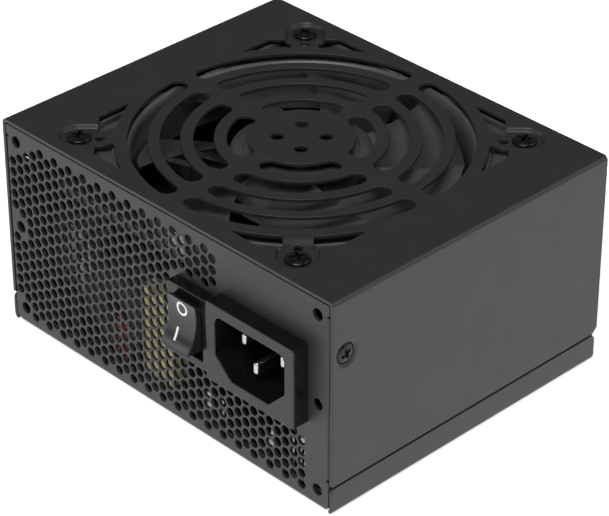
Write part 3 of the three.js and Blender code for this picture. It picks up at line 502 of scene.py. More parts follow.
def corner_opening(rim):
    """The opening beside the tab at the corner on +x and +y, on the side of the diagonal where x is greater.

    It runs along the rim's circle to the tab, out along the tab, then along the line x + y = 76 and back down the
    line x = 45. Its corners are rounded.
    """
    tab, limit, reach = 3.85, 45.0, 76.0
    low, high = math.degrees(math.acos(limit / rim)), 45 - math.degrees(math.asin(tab / rim))
    corners = np.concatenate([
        [(limit, limit * math.tan(math.radians(low)))],
        arc((0, 0), rim, low + 3.6, high, 12),
        [(reach / 2 + tab / math.sqrt(2), reach / 2 - tab / math.sqrt(2)), (limit, reach - limit)],
    ])
    radii = np.zeros(len(corners))
    radii[[0, -3, -2, -1]] = (0.5, 0.4, 0.5, 1.0)
    return divided(rounded(corners, radii), 0.45)


def pressed(case, u, v):
    """How far the flat cover is pressed in at u, v: four screw seats and the dimples of the two side screws.

    With s along a corner's diagonal and t across it, a seat is 1 inside a channel of half width h that ends in a
    half circle round the screw, and it falls to 0 over the shoulder. Behind the grille's rim it starts from 0.
    """
    s, t = (np.abs(u) + np.abs(v)) / math.sqrt(2), (np.abs(u) - np.abs(v)) / math.sqrt(2)
    outside = np.hypot(np.maximum(s - math.hypot(*FAN_SCREW), 0), t) - case.seat_half / MM
    seat = smoothstep(1 - outside / (case.shoulder / MM)) * smoothstep((s - case.rim / MM - 0.1) / 3.2)
    flat_half = HALF_WIDTH - case.bend / MM
    down = flat_half + case.bend / MM * math.pi / 2 + TOP - case.bend / MM - SIDE_SCREW[1]
    dimple = np.hypot(np.abs(u) - down, v - SIDE_SCREW[0]) - 2.9
    return case.seat_depth / MM * seat + 0.45 * smoothstep(1 - dimple / 1.1)


def cover_guides(case, flat_half, quarter, down):
    """Points inside the flat cover where it bends or is pressed: rows along the folds, and rings round seats and
    dimples."""
    bends = np.linspace(flat_half, flat_half + quarter, 8)
    rows = np.stack(np.meshgrid(np.concatenate([-bends, bends]), np.linspace(-49.6, 49.6, 60)), -1).reshape(-1, 2)
    screw, half, shoulder = math.hypot(*FAN_SCREW), case.seat_half / MM, case.shoulder / MM
    away = np.linspace(half - 0.15, half + shoulder + 0.15, 8)
    r, a = np.meshgrid(away, np.radians(np.linspace(-90, 90, 34)))
    end = np.stack([screw + r * np.cos(a), r * np.sin(a)], -1).reshape(-1, 2)
    walls = np.stack(np.meshgrid(np.linspace(53.9, screw - 0.2, 10), away), -1).reshape(-1, 2)
    ramp = np.stack(np.meshgrid(np.linspace(49.2, 52.6, 12), np.linspace(-3.6, 3.6, 15)), -1).reshape(-1, 2)
    local = np.concatenate([end, walls, walls * (1, -1), ramp])
    turned = local @ (math.sqrt(0.5) * np.array([[1, 1], [-1, 1]]))
    seats = [turned * (i, j) for _, i, j in CORNERS]
    r, a = np.meshgrid(np.linspace(3.2, 4.1, 4), np.radians(np.arange(0, 360, 10)))
    ripple = np.stack([r * np.cos(a), r * np.sin(a)], -1).reshape(-1, 2)
    dimples = [ripple + (side * down, SIDE_SCREW[0]) for side in (-1, 1)]
    return np.concatenate([rows, *seats, *dimples])


def make_top_cover():
    """The cover, folded from one flat sheet: u runs across it and v along its depth."""
    case = settings().case
    bend, rim = case.bend / MM, case.rim / MM
    flat_half, quarter = HALF_WIDTH - bend, bend * math.pi / 2
    reach = flat_half + quarter + TOP - bend - COVER_LOW[2]
    down = flat_half + quarter + TOP - bend - SIDE_SCREW[1]

    def fold(u, v, w):
        past = np.abs(u) - flat_half
        angle = np.clip(past / bend, 0, np.pi / 2)
        arm = bend - w - pressed(case, u, v)
        x = np.sign(u) * (np.minimum(np.abs(u), flat_half) + arm * np.sin(angle))
        return np.stack([x, v, TOP - bend + arm * np.cos(angle) - np.maximum(past - quarter, 0)], -1)

    blank = [
        (-reach, -HALF_DEPTH), (reach, -HALF_DEPTH), (reach, HALF_DEPTH - 1.6), (reach - 1.6, HALF_DEPTH),
        (1.6 - reach, HALF_DEPTH), (-reach, HALF_DEPTH - 1.6),
    ]
    loops = [divided(rounded(blank, 0.5), 0.45)]
    radii = [(14.3, 19.6), (23.0, 28.4), (31.8, 37.2), (40.3, 45.7)]
    loops += [ring_slot(*pair, quadrant) for pair in radii for quadrant in range(4)]
    for _, i, j in CORNERS:
        loops += [circle((4.55 * i, 4.55 * j), 1.8, 20), circle((37.4 * i, 37.4 * j), 1.3, 18)]
        loops += [circle(FAN_SCREW * (i, j), 2.3, 24)]
        loops += [corner_opening(rim)[:, ::side] * (i, j) for side in (-1, 1)]
    loops += [circle((side * down, SIDE_SCREW[0]), 2.95, 28) for side in (-1, 1)]
    guides = cover_guides(case, flat_half, quarter, down)
    cover = plate("cover_sheet", loops, case.sheet / MM, fold, case.edge / MM, guides=guides)
    finish_piece(cover, MATERIALS["painted_steel"], replaces=["top_cover"])


# ---- Base ----

def hexagon(centre, across, soft):
    """A hexagon with flat sides at its top and bottom, and soft corners."""
    return rounded(arc(centre, across / math.sqrt(3), 0, 300, 5), soft, 1)


def vent_centres(vent):
    """Centres of the vent's holes: columns staggered by half a pitch, less those near anything else on the panel."""
    column, row = np.meshgrid(np.arange(39), np.arange(17), indexing="ij")
    x = (-59 + vent.column / MM * column).ravel()
    z = (4.2 + vent.pitch / MM * (row + column % 2 / 2)).ravel()
    screw_x, screw_z = np.transpose(MOUNT_HOLES)
    near_screw = (np.hypot(x[:, None] - screw_x, z[:, None] - screw_z) < 4).any(1)
    near_corner = (x + HALF_WIDTH) + (TOP - z) < 15
    near_inlet = (x > 21) & (z > 20.4)
    near_switch = (x > 4) & (x < 21) & (z > 21.9) & (z < 47.5)
    keep = (z < 60) & ~near_screw & ~near_corner & ~near_inlet & ~near_switch
    return np.stack([x[keep], z[keep]], -1)


def panel_outline(half, foot, top, flange):
    """A panel's flat blank: a narrow foot, the face, and a flange at each side between two notches."""
    right = [
        (half - 1.4, foot), (half - 1.4, 1.0), (half, 1.6), (half, 9.4), (half - 0.75, 9.4), (half - 0.75, 9.9),
        (half + flange, 9.9), (half + flange, 58.6), (half - 0.75, 58.6), (half - 0.75, 59.1), (half, 59.1), (half, top),
    ]
    left = [(-x, z) for x, z in right[::-1]]
    radii = np.zeros(24)
    radii[[11, 12]] = 0.5
    radii[[0, 23]] = 0.6
    return divided(rounded(right + left, radii, 3), 1.2)


def folded_panel(name, holes, place, material, node, guides=()):
    """A panel whose foot turns in at the bottom and whose flanges turn in at both sides.

    Below v = 1.5 the sheet follows a quarter circle and then runs inwards. Beyond |u| = 60.5, between the notches,
    it follows a quarter circle of radius 0.7 and then runs inwards. place(u, depth, v) puts it in space.
    """
    case = settings().case
    bend, side = case.bend / MM, 0.7
    half = PANEL_HIGH[0]
    foot = bend - bend * math.pi / 2 - 1.5

    def fold(u, v, w):
        low = np.clip((bend - v) / bend, 0, np.pi / 2)
        ahead = np.maximum(bend - v - bend * np.pi / 2, 0)
        arm = bend - w
        side_arm = side - np.minimum(w, 0.6)
        depth = np.where(v < bend, bend - arm * np.cos(low) + ahead, w)
        height = np.where(v < bend, bend - arm * np.sin(low), v)
        past = np.where((v > 9.7) & (v < 58.8), np.abs(u) - (half - side), -1)
        turn = np.clip(past / side, 0, np.pi / 2)
        sideways = np.where(past > 0, half - side + side_arm * np.sin(turn), np.abs(u))
        depth = np.where(past > 0, side - side_arm * np.cos(turn) + np.maximum(past - side * np.pi / 2, 0), depth)
        return place(np.sign(u) * sideways, depth, height)

    loops = [panel_outline(half, foot, PANEL_HIGH[2], side * (np.pi / 2 - 1) + 4), *holes]
    rows = np.linspace(bend * (1 - np.pi / 2), bend, 7)
    bottom = np.stack(np.meshgrid(np.linspace(-59.5, 59.5, 60), rows), -1).reshape(-1, 2)
    columns = half - side + side * np.linspace(0, np.pi / 2, 7)
    sides = np.stack(np.meshgrid(np.concatenate([-columns, columns]), np.linspace(10.2, 58.3, 30)), -1).reshape(-1, 2)
    panel = plate(name, loops, case.sheet / MM, fold, case.edge / MM, steps=1, guides=np.concatenate([bottom, sides]))
    return finish_piece(panel, material, replaces=[node])


def make_base():
    """The floor with its side strips, the mains panel with its vent, and the output panel."""
    case, vent = settings().case, settings().vent
    steel = MATERIALS["painted_steel"]
    bend, quarter = case.bend / MM, case.bend / MM * math.pi / 2
    flat_half = HALF_WIDTH - bend
    reach = flat_half + quarter + STRIP_TOP - bend

    def floor_fold(u, v, w):
        past = np.abs(u) - flat_half
        angle = np.clip(past / bend, 0, np.pi / 2)
        arm = bend - w
        x = -np.sign(u) * (np.minimum(np.abs(u), flat_half) + arm * np.sin(angle))
        return np.stack([x, v, bend - arm * np.cos(angle) + np.maximum(past - quarter, 0)], -1)

    inner, front, back = PANEL_HIGH[0], HALF_DEPTH, HALF_DEPTH - 0.7
    right = [(inner, -front), (reach, -front), (reach, back), (inner, back), (inner, 47)]
    corners = [(inner, -47), *right, *((-x, y) for x, y in right[::-1]), (-inner, -47)]
    radii = [0, 0.3, 1.8, 1.8, 0.3, 0, 0, 0.3, 1.8, 1.8, 0.3, 0]
    bends = np.linspace(flat_half, flat_half + quarter, 8)
    rows = np.stack(np.meshgrid(np.concatenate([-bends, bends]), np.linspace(-49.5, 48.8, 60)), -1).reshape(-1, 2)
    floor_loops = [divided(rounded(corners, radii), 1.0)]
    floor_loops += [circle((x, y), 1.6, 20) for x in (-54, 54) for y in (-42, 34)]
    floor = plate("floor_sheet", floor_loops, case.sheet / MM, floor_fold, case.edge / MM, guides=rows)
    finish_piece(floor, steel, replaces=["base_floor"])

    holes = [circle(at, 1.65, 24) for at in MOUNT_HOLES]
    holes += [hexagon(at, vent.across / MM, vent.soft / MM) for at in vent_centres(vent)]
    holes += [rectangle((23.8, 26.2), (52.4, 46.2)), rectangle((7.1, 25.4), (20.7, 45.2))]
    mains = lambda u, depth, v: np.stack([u, depth - HALF_DEPTH, v], -1)
    folded_panel("mains_panel_sheet", holes, mains, steel, "inlet_panel")

    holes = [circle((side * 50, 56), 1.8, 24) for side in (-1, 1)]
    for node, (low, high) in SOCKETS.items():
        holes.append(rectangle((-high[0] - 0.3, low[2] - 0.3), (0.3 - low[0], high[2] + 0.3), 0.3))
    output = lambda u, depth, v: np.stack([-u, HALF_DEPTH - depth, v], -1)
    folded_panel("output_panel_sheet", holes, output, steel, "socket_panel")


# ---- Output sockets ----

def make_sockets():
    """Each socket is a block of square cells: a front plate with rounded mouths, its walls and the pins inside."""
    black = MATERIALS["black_plastic"]
    for node, (low, high) in SOCKETS.items():
        columns = round((high[0] - low[0] - 1.2) / 4.2)
        top = high[2] - 1
        middle = np.array([(low[0] + high[0]) / 2, (low[2] + top) / 2])
        depth = high[1] - low[1]
        place = flat_place((0, high[1], 0), (-1, 0, 0), (0, 0, 1))
        cells = [
            (-(middle[0] + (n - (columns - 1) / 2) * 4.2), middle[1] + row * 4.2)
            for n in range(columns) for row in (-0.5, 0.5)
        ]
        loops = [rectangle((-high[0], low[2]), (-low[0], top), 0.4)]
        loops += [rectangle(np.subtract(c, 1.7), np.add(c, 1.7), 0.45 if n % 3 else 1.1) for n, c in enumerate(cells)]
        body = plate("body", loops, depth - 2, place, 0.15)
        rear = plate("rear", [loops[0]], 2, flat_place((0, low[1] + 2, 0), (-1, 0, 0), (0, 0, 1)), 0.1)
        ramp_loop = rounded([(0, 0), (depth - 1.6, 0), (depth - 1.6, 0.3), (depth - 4, 1), (0, 1)], 0.08)
        ramp_place = flat_place((middle[0] + 2, low[1] + 1, top), (0, 1, 0), (0, 0, 1))
        ramp = plate("ramp", [ramp_loop], 4, ramp_place, 0.04)
        pins = [
            plate("pin", [rectangle(np.subtract(c, 0.55), np.add(c, 0.55), 0.2)], depth - 4.5,
                  flat_place((0, high[1] - 2.5, 0), (-1, 0, 0), (0, 0, 1)), 0.12, back_rounding=0.01)
            for c in cells
        ]
        finish_piece(joined(node + "_body", [body, rear, ramp]), black, replaces=[node])
        contacts = joined(node + "_contacts", pins)
        finish_piece(contacts, MATERIALS["brass"])


# ---- Screws ----

def cross_screw(name, radius, height, place, node, slot, shank=1.2, length=5.0):
    """A pan head with a cross recess, and its shank. The head falls with the fourth power of the radius."""
    arm, half, thick = radius * 0.56, 0.42, height * 0.8
    plus = [(half, half), (half, arm), (-half, arm), (-half, half), (-arm, half), (-arm, -half), (-half, -half),
            (-half, -arm), (half, -arm), (half, -half), (arm, -half), (arm, half)]
    cross = divided(rounded(plus, [0.25, 0.1, 0.1] * 4, 2), 0.4)

    def domed(u, v, w):
        share = (u**2 + v**2) / radius**2
        return place(u, v, w + 0.55 * height * share**2 * (1 - w / thick))

    rings = np.concatenate([circle((0, 0), radius * share, 36) for share in (0.45, 0.65, 0.75, 0.84, 0.92)])
    edge = circle((0, 0), radius, 40)
    head = plate("head", [edge, cross], thick, domed, 0.1, 3, guides=rings, back_rounding=0.02)
    core = plate("core", [edge], height - thick, lambda u, v, w: place(u, v, w + thick), 0.02)
    pin = plate("shank", [circle((0, 0), shank, 16)], length, lambda u, v, w: place(u, v, w + height), 0.1)
    return finish_piece(joined(name, [head, core, pin]), MATERIALS[slot], replaces=[node])


def make_screws():
    """Fan screws in their seats, and screws at both sides and the back of the cover."""
    for corner, i, j in CORNERS:
        a = 0.5 + i + 2 * j
        place = flat_place((*FAN_SCREW * (i, j), TOP + 0.25), (math.cos(a), math.sin(a), 0), (-math.sin(a), math.cos(a), 0))
        cross_screw(f"seat_screw_{corner}", 3.3, 1.4, place, f"fan_screw_{corner}", "black_screw", 1.8, 6.5)
    for node, side in (("cover_screw_right", 1), ("cover_screw_left", -1)):
        place = flat_place((side * (HALF_WIDTH - 0.05), *SIDE_SCREW), (0, side * 0.9, 0.436), (0, -side * 0.436, 0.9))
        cross_screw(f"{node}_head", 2.75, 0.9, place, node, "black_screw", 1.0, 4)
    for node, side in (("cover_screw_back_left", -1), ("cover_screw_back_right", 1)):
        place = flat_place((side * 50, HALF_DEPTH + 1.6, 56), (-0.8, 0, 0.6), (0.6, 0, 0.8))
        cross_screw(f"{node}_head", 2.8, 1.6, place, node, "black_screw", 1.2, 4)


# ---- Mains inlet ----

def plug_outline(x, z, grow=0.0):
    """The plug's outline: 25 by 17 mm, its two lower corners cut off and its upper ones rounded."""
    w, h, c = 12.5 + grow, 8.5 + grow, 5.7 + grow * 0.6
    corners = [(c - w, -h), (w - c, -h), (w, c - h), (w, h), (-w, h), (-w, c - h)]
    return rounded(corners, [0.8, 0.8, 0.8, 2.5, 2.5, 0.8], 6) + (x, z)


def make_inlet():
    """The inlet: a flange with a plug-shaped well, its body behind the panel, and three pins."""
    low, high = span("inlet_housing")
    x, z = (low[0] + high[0]) / 2, (low[2] + high[2]) / 2
    face = low[1]
    floor = face + 16.5
    front = lambda y: flat_place((0, y, 0), (1, 0, 0), (0, 0, 1))
    rim = rectangle((low[0], low[2]), (high[0], high[2]), 0.9, 5)
    body_loop = rectangle((x - 14, z - 9.7), (x + 14, z + 9.7), 0.5)
    well = plug_outline(x, z)
    flange = plate("flange", [rim, well], -HALF_DEPTH - face, front(face), 0.35, 3, back_rounding=0.05)
    body = plate("body", [body_loop, well], floor + HALF_DEPTH, front(-HALF_DEPTH), 0.02)
    back = plate("back", [body_loop], high[1] - floor, front(floor), 0.02, back_rounding=0.3)
    finish_piece(joined("inlet_shell", [flange, body, back]), MATERIALS["black_plastic"],
                 replaces=["inlet_housing"])
    for node in ("inlet_pin_line", "inlet_pin_neutral", "inlet_pin_earth"):
        start, end = span(node)
        middle = (start + end) / 2
        loop = rectangle(start[::2] - middle[::2], end[::2] - middle[::2], 0.95)

        def tapered(u, v, w):
            """Narrower towards the tip over the first 1.6 mm."""
            share = 0.72 + 0.28 * np.clip(w / 1.6, 0, 1)
            return np.stack([middle[0] + u * share, start[1] + w, middle[2] + v * (0.35 + 0.65 * share)], -1)

        pin = plate(node + "_blade", [loop], end[1] - start[1], tapered, 0.6, 4, back_rounding=0.1)
        finish_piece(pin, MATERIALS["bright_steel"], replaces=[node])


# ---- Rocker switch ----

def make_switch():
    """The switch: a bezel with its well, and a rocker with a hollow face that carries two printed marks."""
    switch = settings().switch
    low, high = span("switch_housing")
    x, z = (low[0] + high[0]) / 2, (low[2] + high[2]) / 2
    black = MATERIALS["black_plastic"]
    front = lambda y: flat_place((0, y, 0), (1, 0, 0), (0, 0, 1))
    opening = rectangle((x - 5.35, z - 8.3), (x + 5.35, z + 6.7), 0.4)
    rim = rectangle((low[0], low[2]), (high[0], high[2]), 0.7, 5)
    body_loop = rectangle((x - 6.5, z - 9.6), (x + 6.5, z + 9.6), 0.4)
    bezel = plate("bezel", [rim, opening], -HALF_DEPTH - low[1], front(low[1]), 0.35, 3, back_rounding=0.05)
    body = plate("body", [body_loop, opening], high[1] - 2 + HALF_DEPTH, front(-HALF_DEPTH), 0.02)
    back = plate("back", [body_loop], 2, front(high[1] - 2), 0.02, back_rounding=0.2)
    finish_piece(joined("switch_shell", [bezel, body, back]), black, replaces=["switch_housing"])

    pivot = np.array([x, -51.2, z])
    turn, radius, stem, upper, lower = switch.tilt, switch.face / MM, 4.7, 7.8, 6.4

    def tilted(points):
        """Turned about the pivot from level to off."""
        px, py, pz = np.moveaxis(points, -1, 0)
        c, s = math.cos(-turn), math.sin(-turn)
        return np.stack([px, py * c - pz * s, py * s + pz * c], -1) + pivot

    bulge = [math.degrees(math.asin(reach / radius)) for reach in (upper, -lower)]
    face = arc((-stem - radius, 0), radius, *bulge, 24)
    stalk = [(0.4, 1 - lower), (1.4, -2.2), (8.2, -0.9), (8.2, 0.9), (1.4, 2.2), (0.4, upper - 2.2), (-3.2, upper - 0.8)]
    profile = np.concatenate([face, stalk])[::-1]
    side = lambda u, v, w: tilted(np.stack([5.1 - w, u, v], -1))
    rocker = plate("rocker_body", [divided(profile, 0.8)], 10.2, side, 0.3, 3)
    axle = plate("axle", [circle((0, 0), 1.2, 24)], 12.2, lambda u, v, w: tilted(np.stack([6.1 - w, u, v], -1)), 0.1)
    paddle = joined("rocker_paddle", [rocker, axle])
    finish_piece(paddle, MATERIALS["rocker_plastic"], "rocker", ["switch_rocker"])

    def on_face(u, v, w):
        """On the hollow face: u across it, v up it, raised by 0.03 mm."""
        return tilted(np.stack([u, -stem - radius + np.sqrt(radius**2 - v**2) - 0.03 + w, v], -1))

    off = [circle((0, 5.0), 1.95, 32), circle((0, 5.0), 1.35, 32)]
    on = [divided(rectangle((-1.35, -4.3), (-0.65, -0.6), 0.1), 0.4)]
    marks = joined("rocker_marks", [plate("mark", loops, 0.06, on_face, 0.01, 1) for loops in (off, on)])
    finish_piece(marks, MATERIALS["print"], "rocker")


# ---- Fan ----

def frame_corner(bore):
    """The pieces of the fan frame at the corner on +x and +y: two ears, and on the upper ear a border, a rib that
    follows the duct and a boss round the screw hole. Each is (outlines, thickness, height of its top)."""
    half, start = 46.0, 7.2
    radius = bore + 0.9
    hole = circle(FAN_SCREW, 2.15, 24)
    low, high = (math.degrees(math.asin(start / radius)) + turn for turn in (0, 0))
    inner_arc = arc((0, 0), radius, 90 - low, high, 24)
    ear_corners = np.concatenate([[(half, start), (half, half), (start, half)], inner_arc])
    ear_radii = np.zeros(len(ear_corners))
    ear_radii[1] = 4
    ear = rounded(ear_corners, ear_radii, 8)
    edge = 44.9
    border_corners = [(half, start), (half, half), (start, half), (start, edge), (edge, edge), (edge, start)]
    border = rounded(border_corners, [0, 4, 0, 0, 3, 0], 8)
    rib = np.concatenate([arc((0, 0), 49.7, 26, 64, 30), arc((0, 0), 48.8, 64, 26, 30)])
    boss = [circle(FAN_SCREW, 4.3, 32), hole]
    return [
        ([ear, hole], 1.8, FAN_TOP - 1.6), ([ear, hole], 3.4, FAN_LOW + 3.4), ([border], 1.7, FAN_TOP),
        ([rib], 1.7, FAN_TOP - 0.3), (boss, 1.7, FAN_TOP),
    ]


def make_fan():
    """The fan: a square frame with its duct and struts, and a rotor with a hub cap and swept blades."""
    fan = settings().fan
    hub, tip, bore = fan.hub / MM, fan.tip / MM, fan.bore / MM
    level = lambda z: flat_place((0, 0, z), (1, 0, 0), (0, 1, 0))
    parts = [
        plate("corner", [loop * (i, j) for loop in loops], thick, level(top), 0.25)
        for _, i, j in CORNERS for loops, thick, top in frame_corner(bore)
    ]
    mouth = arc((0, 0), 1, 0, 90, 10)
    flare = np.stack([bore + 1.3 * (1 - mouth[:, 0]), FAN_TOP - 3 * (1 - mouth[:, 1])], -1)
    foot = [(bore, FAN_LOW + 0.6), (bore + 0.6, FAN_LOW), (bore + 1.38, FAN_LOW), (bore + 1.38, FAN_TOP)]
    parts.append(lathe("duct", np.concatenate([foot, flare[::-1]]), sides=128))
    parts.append(plate("motor_plate", [circle((0, 0), hub + 0.5, 64)], 1.3, level(FAN_LOW + 1.3), 0.2))
    for turn in np.radians([20, 110, 200, 290]):
        c, s = math.cos(turn), math.sin(turn)
        place = flat_place((0, 0, FAN_LOW + 2), (c, s, 0), (-s, c, 0))
        parts.append(plate("strut", [rectangle((hub, -1.6), (bore + 0.5, 1.6), 0.6)], 2, place, 0.3))
    tube = [(2.95, FAN_LOW + 1), (3.9, FAN_LOW + 1), (3.9, FAN_LOW + 9.5), (2.95, FAN_LOW + 9.5)]
    parts.append(lathe("tube", tube, sides=32))
    duct = joined("fan_duct", parts)
    finish_piece(duct, MATERIALS["fan_plastic"], replaces=["fan_frame"])

    top = FAN_TOP - 0.9
    cap = lathe("hub_cap", [
        (hub - 0.9, FAN_LOW + 3), (hub, FAN_LOW + 3), (hub, top - 1.1), (hub - 0.12, top - 0.6), (hub - 0.5, top - 0.2),
        (hub - 1.1, top), (15.5, top), (15.2, top - 0.25), (1.9, top - 0.25), (1.8, top - 2.6), (3.3, top - 2.6),
        (3.4, top - 1.2), (hub - 0.9, top - 1.2),
    ], sides=96)
    wheel = joined("fan_wheel_surface", [cap, *(fan_blade(fan, hub, tip, n) for n in range(fan.blades))])
    finish_piece(wheel, MATERIALS["blade_plastic"], "fan_wheel", ["fan_rotor"])


def fan_blade(fan, hub, tip, number):
    """One blade, a grid of sections from the hub to the tip.

    At a share f of the way out and a share c of the chord, from trailing edge 0 to leading edge 1, the angle is
    start + sweep (f - 0.8) - span (1 - c), and the height falls behind the leading edge by
    rise (1 - 0.15 f) (1 - c), with a hollow of 0.9 sin(pi c). The thickness is thick sqrt(sin(pi c)), thinner
    towards the tip.
    """
    f = np.linspace(0, 1, 18)[:, None]
    loop = np.linspace(0, 2 * np.pi, 48, endpoint=False)[None]
    c = (1 - np.cos(loop)) / 2
    side = np.sign(np.sin(loop)) + 0 * f
    radius = hub - 0.4 + (tip - hub + 0.4) * f + 0 * c
    start = math.radians(82) + 2 * math.pi * number / fan.blades
    angle = start + fan.sweep * (f - 0.8) - fan.span * (1 - 0.1 * f) * (1 - c)
    height = FAN_TOP - 1.3 - fan.rise / MM * (1 - 0.15 * f) * (1 - c) - 0.9 * np.sin(np.pi * c)
    thick = fan.thick / MM * (1 - 0.35 * f) * np.sqrt(np.maximum(np.sin(np.pi * c), 0)) * side / 2
    points = np.stack([radius * np.cos(angle), radius * np.sin(angle), height + thick], -1)
    return merged(grid("blade", points), 50)


# ---- Small parts behind the vent ----

def make_details():
    """Tinned terminals on the board's front edge, a red varistor and a strip of pale tape on the fan frame."""
    upright = lambda x, y, z: flat_place((x, y, z), (1, 0, 0), (0, 0, 1))
    spots = [(13.4, 11.4), (18.4, 11.4), (36.0, 10.6), (37.8, 12.4), (44.6, 13.6), (48.4, 16.5), (49.0, 11.8)]
    tabs = [
        plate("tab", [rectangle((-0.9, 5 - top), (0.9, 0), 0.6)], 0.5, upright(x, -46.6, top), 0.15)
        for x, top in spots
    ]
    finish_piece(joined("board_terminals", tabs), MATERIALS["bright_steel"])
    disc = plate("varistor_disc", [circle((0, 0), 2.9, 32)], 1.0, upright(-20.8, -46.7, 15.6), 0.45, 4)
    legs = [plate("leg", [rectangle((x - 0.3, 5.1 - 15.6), (x + 0.3, -1), 0.2)], 0.4, upright(-20.8, -46.4, 15.6), 0.1)
            for x in (-1.5, 1.5)]
    finish_piece(joined("varistor", [disc, *legs]), MATERIALS["red_resin"])
    tape = plate("frame_tape", [rectangle((-3.6, -2.6), (3.6, 2.6), 0.3)], 0.35, upright(2.6, -46.45, 52.2), 0.1)
    finish_piece(tape, MATERIALS["insulation"])


# ---- Finishes by name, and the parts that keep their modelled shape ----

def make_finishes():
    """Every finish, by the name of the slot that it fills."""
    case, fan, switch = settings().case, settings().fan, settings().switch
    grey = lambda value: (value, value, value * 1.02)
    MATERIALS.update(
        painted_steel=finish("powder_coat", tuple(case.paint), 0.46, grain=0.32, depth=0.02, mottle=0.08, patch=9,
                             Specular_IOR_Level=0.44),
        black_plastic=finish("grained_plastic", grey(0.005), 0.26, grain=0.25, depth=0.015, patch=5, Specular_IOR_Level=0.4),
        rocker_plastic=finish("satin_plastic", grey(0.012), 0.24, grain=0.6, depth=0.003, patch=8),
        fan_plastic=finish("duct_plastic", grey(0.075), 0.42, grain=1.2, depth=0.006, patch=10),
        blade_plastic=finish("blade_plastic", tuple(fan.plastic), 0.38, grain=0.9, depth=0.004, patch=12),
        black_screw=finish("black_oxide", grey(0.025), 0.3, 0.85, grain=0.2, depth=0.006, mottle=0.4, patch=1.2),
        bright_steel=finish("nickel", (0.50, 0.50, 0.50), 0.22, 1.0, grain=0.3, depth=0.003, patch=2),
        brass=finish("tinned_brass", (0.70, 0.53, 0.27), 0.32, 1.0, grain=0.2, depth=0.004, patch=2),
        copper=finish("enamelled_copper", (0.30, 0.14, 0.07), 0.35, 1.0, grain=0.5, depth=0.05, patch=2),
        aluminium=finish("extruded_aluminium", (0.62, 0.63, 0.64), 0.38, 1.0, grain=0.2, depth=0.01, patch=4),
        circuit_board=finish("solder_mask", (0.006, 0.012, 0.009), 0.5, grain=1.5, depth=0.02, mottle=0.25, patch=3),
        magnet=finish("bonded_ferrite", grey(0.05), 0.6, grain=0.2, depth=0.02),
        insulation=finish("fibre_sheet", (0.60, 0.60, 0.54), 0.6, grain=0.5, depth=0.02),
        yellow_case=finish("yellow_polyester", (0.80, 0.70, 0.30), 0.35, grain=0.4, depth=0.01, patch=4),
        capacitor_sleeve=finish("shrink_sleeve", (0.025, 0.035, 0.08), 0.3, grain=2.0, depth=0.02, patch=6),
        ferrite=finish("dark_ferrite", (0.05, 0.045, 0.04), 0.55, grain=0.3, depth=0.02),
        moulded_resin=finish("moulded_resin", grey(0.02), 0.5, grain=0.3, depth=0.02),
        brown_insulation=finish("brown_wire", (0.18, 0.07, 0.035), 0.4, grain=0.4, depth=0.006, patch=3),
        blue_insulation=finish("blue_wire", (0.03, 0.10, 0.36), 0.4, grain=0.4, depth=0.006, patch=3),
        green_yellow_insulation=finish("green_wire", (0.10, 0.15, 0.03), 0.4, grain=0.4, depth=0.006, patch=3),
        black_insulation=finish("black_wire", grey(0.02), 0.4, grain=0.4, depth=0.006, patch=3),
        red_resin=finish("red_epoxy", (0.42, 0.05, 0.04), 0.35, grain=0.4, depth=0.02, patch=2),
        print=finish("white_print", tuple(switch.print_colour), 0.55, grain=0.15, depth=0.002, mottle=0.05, patch=1),
    )


NODE_FINISHES = {
    "socket_board": "circuit_board", "main_board": "circuit_board", "fan_circuit_board": "circuit_board",
    "converter_board": "circuit_board", "switch_contact_arm": "brass", "switch_terminal_common": "brass",
    "switch_terminal_load": "brass", "rotor_yoke": "bright_steel", "rotor_magnet": "magnet",
    "rotor_shaft": "bright_steel", "fan_bearing": "brass", "fan_stator": "copper", "insulation_sheet": "insulation",
    "noise_filter_capacitor": "yellow_case", "common_mode_choke": "ferrite", "bridge_rectifier": "moulded_resin",
    "rectifier_heatsink": "aluminium", "power_factor_choke": "ferrite", "bulk_capacitor": "capacitor_sleeve",
    "primary_heatsink": "aluminium", "main_transformer": "ferrite", "standby_transformer": "ferrite",
    "secondary_heatsink": "aluminium", "output_capacitor_1": "capacitor_sleeve",
    "output_capacitor_2": "capacitor_sleeve", "output_choke": "copper", "line_wire": "brown_insulation",
    "neutral_wire": "blue_insulation", "earth_wire": "green_yellow_insulation", "fan_lead": "black_insulation",
    "board_screw_front_left": "bright_steel", "board_screw_front_right": "bright_steel",
    "board_screw_back_left": "bright_steel", "board_screw_back_right": "bright_steel",
}


def dress_nodes():
    """Gives every part that keeps its modelled shape a finish."""
    for name, slot in NODE_FINISHES.items():
        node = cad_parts[name]
        if node.hide_render:
            continue
        if not node.material_slots:
            node.data.materials.append(MATERIALS[slot])
        node.material_slots[0].material = MATERIALS[slot]


# ---- Stage ----

def area_light(name, power, size, place, target=(0, 0, 0.03)):
    """A soft rectangular light that faces a point. size is its width and height, in metres."""
    light = bpy.data.lights.new(name, "AREA")
    light.shape = "RECTANGLE"
    light.size, light.size_y = size
    light.energy = power
    lamp = bpy.data.objects.new(name, light)
    lamp.location = place
    lamp.rotation_euler = (Vector(target) - Vector(place)).to_track_quat("-Z", "Y").to_euler()
    bpy.context.scene.collection.objects.link(lamp)
    return lamp


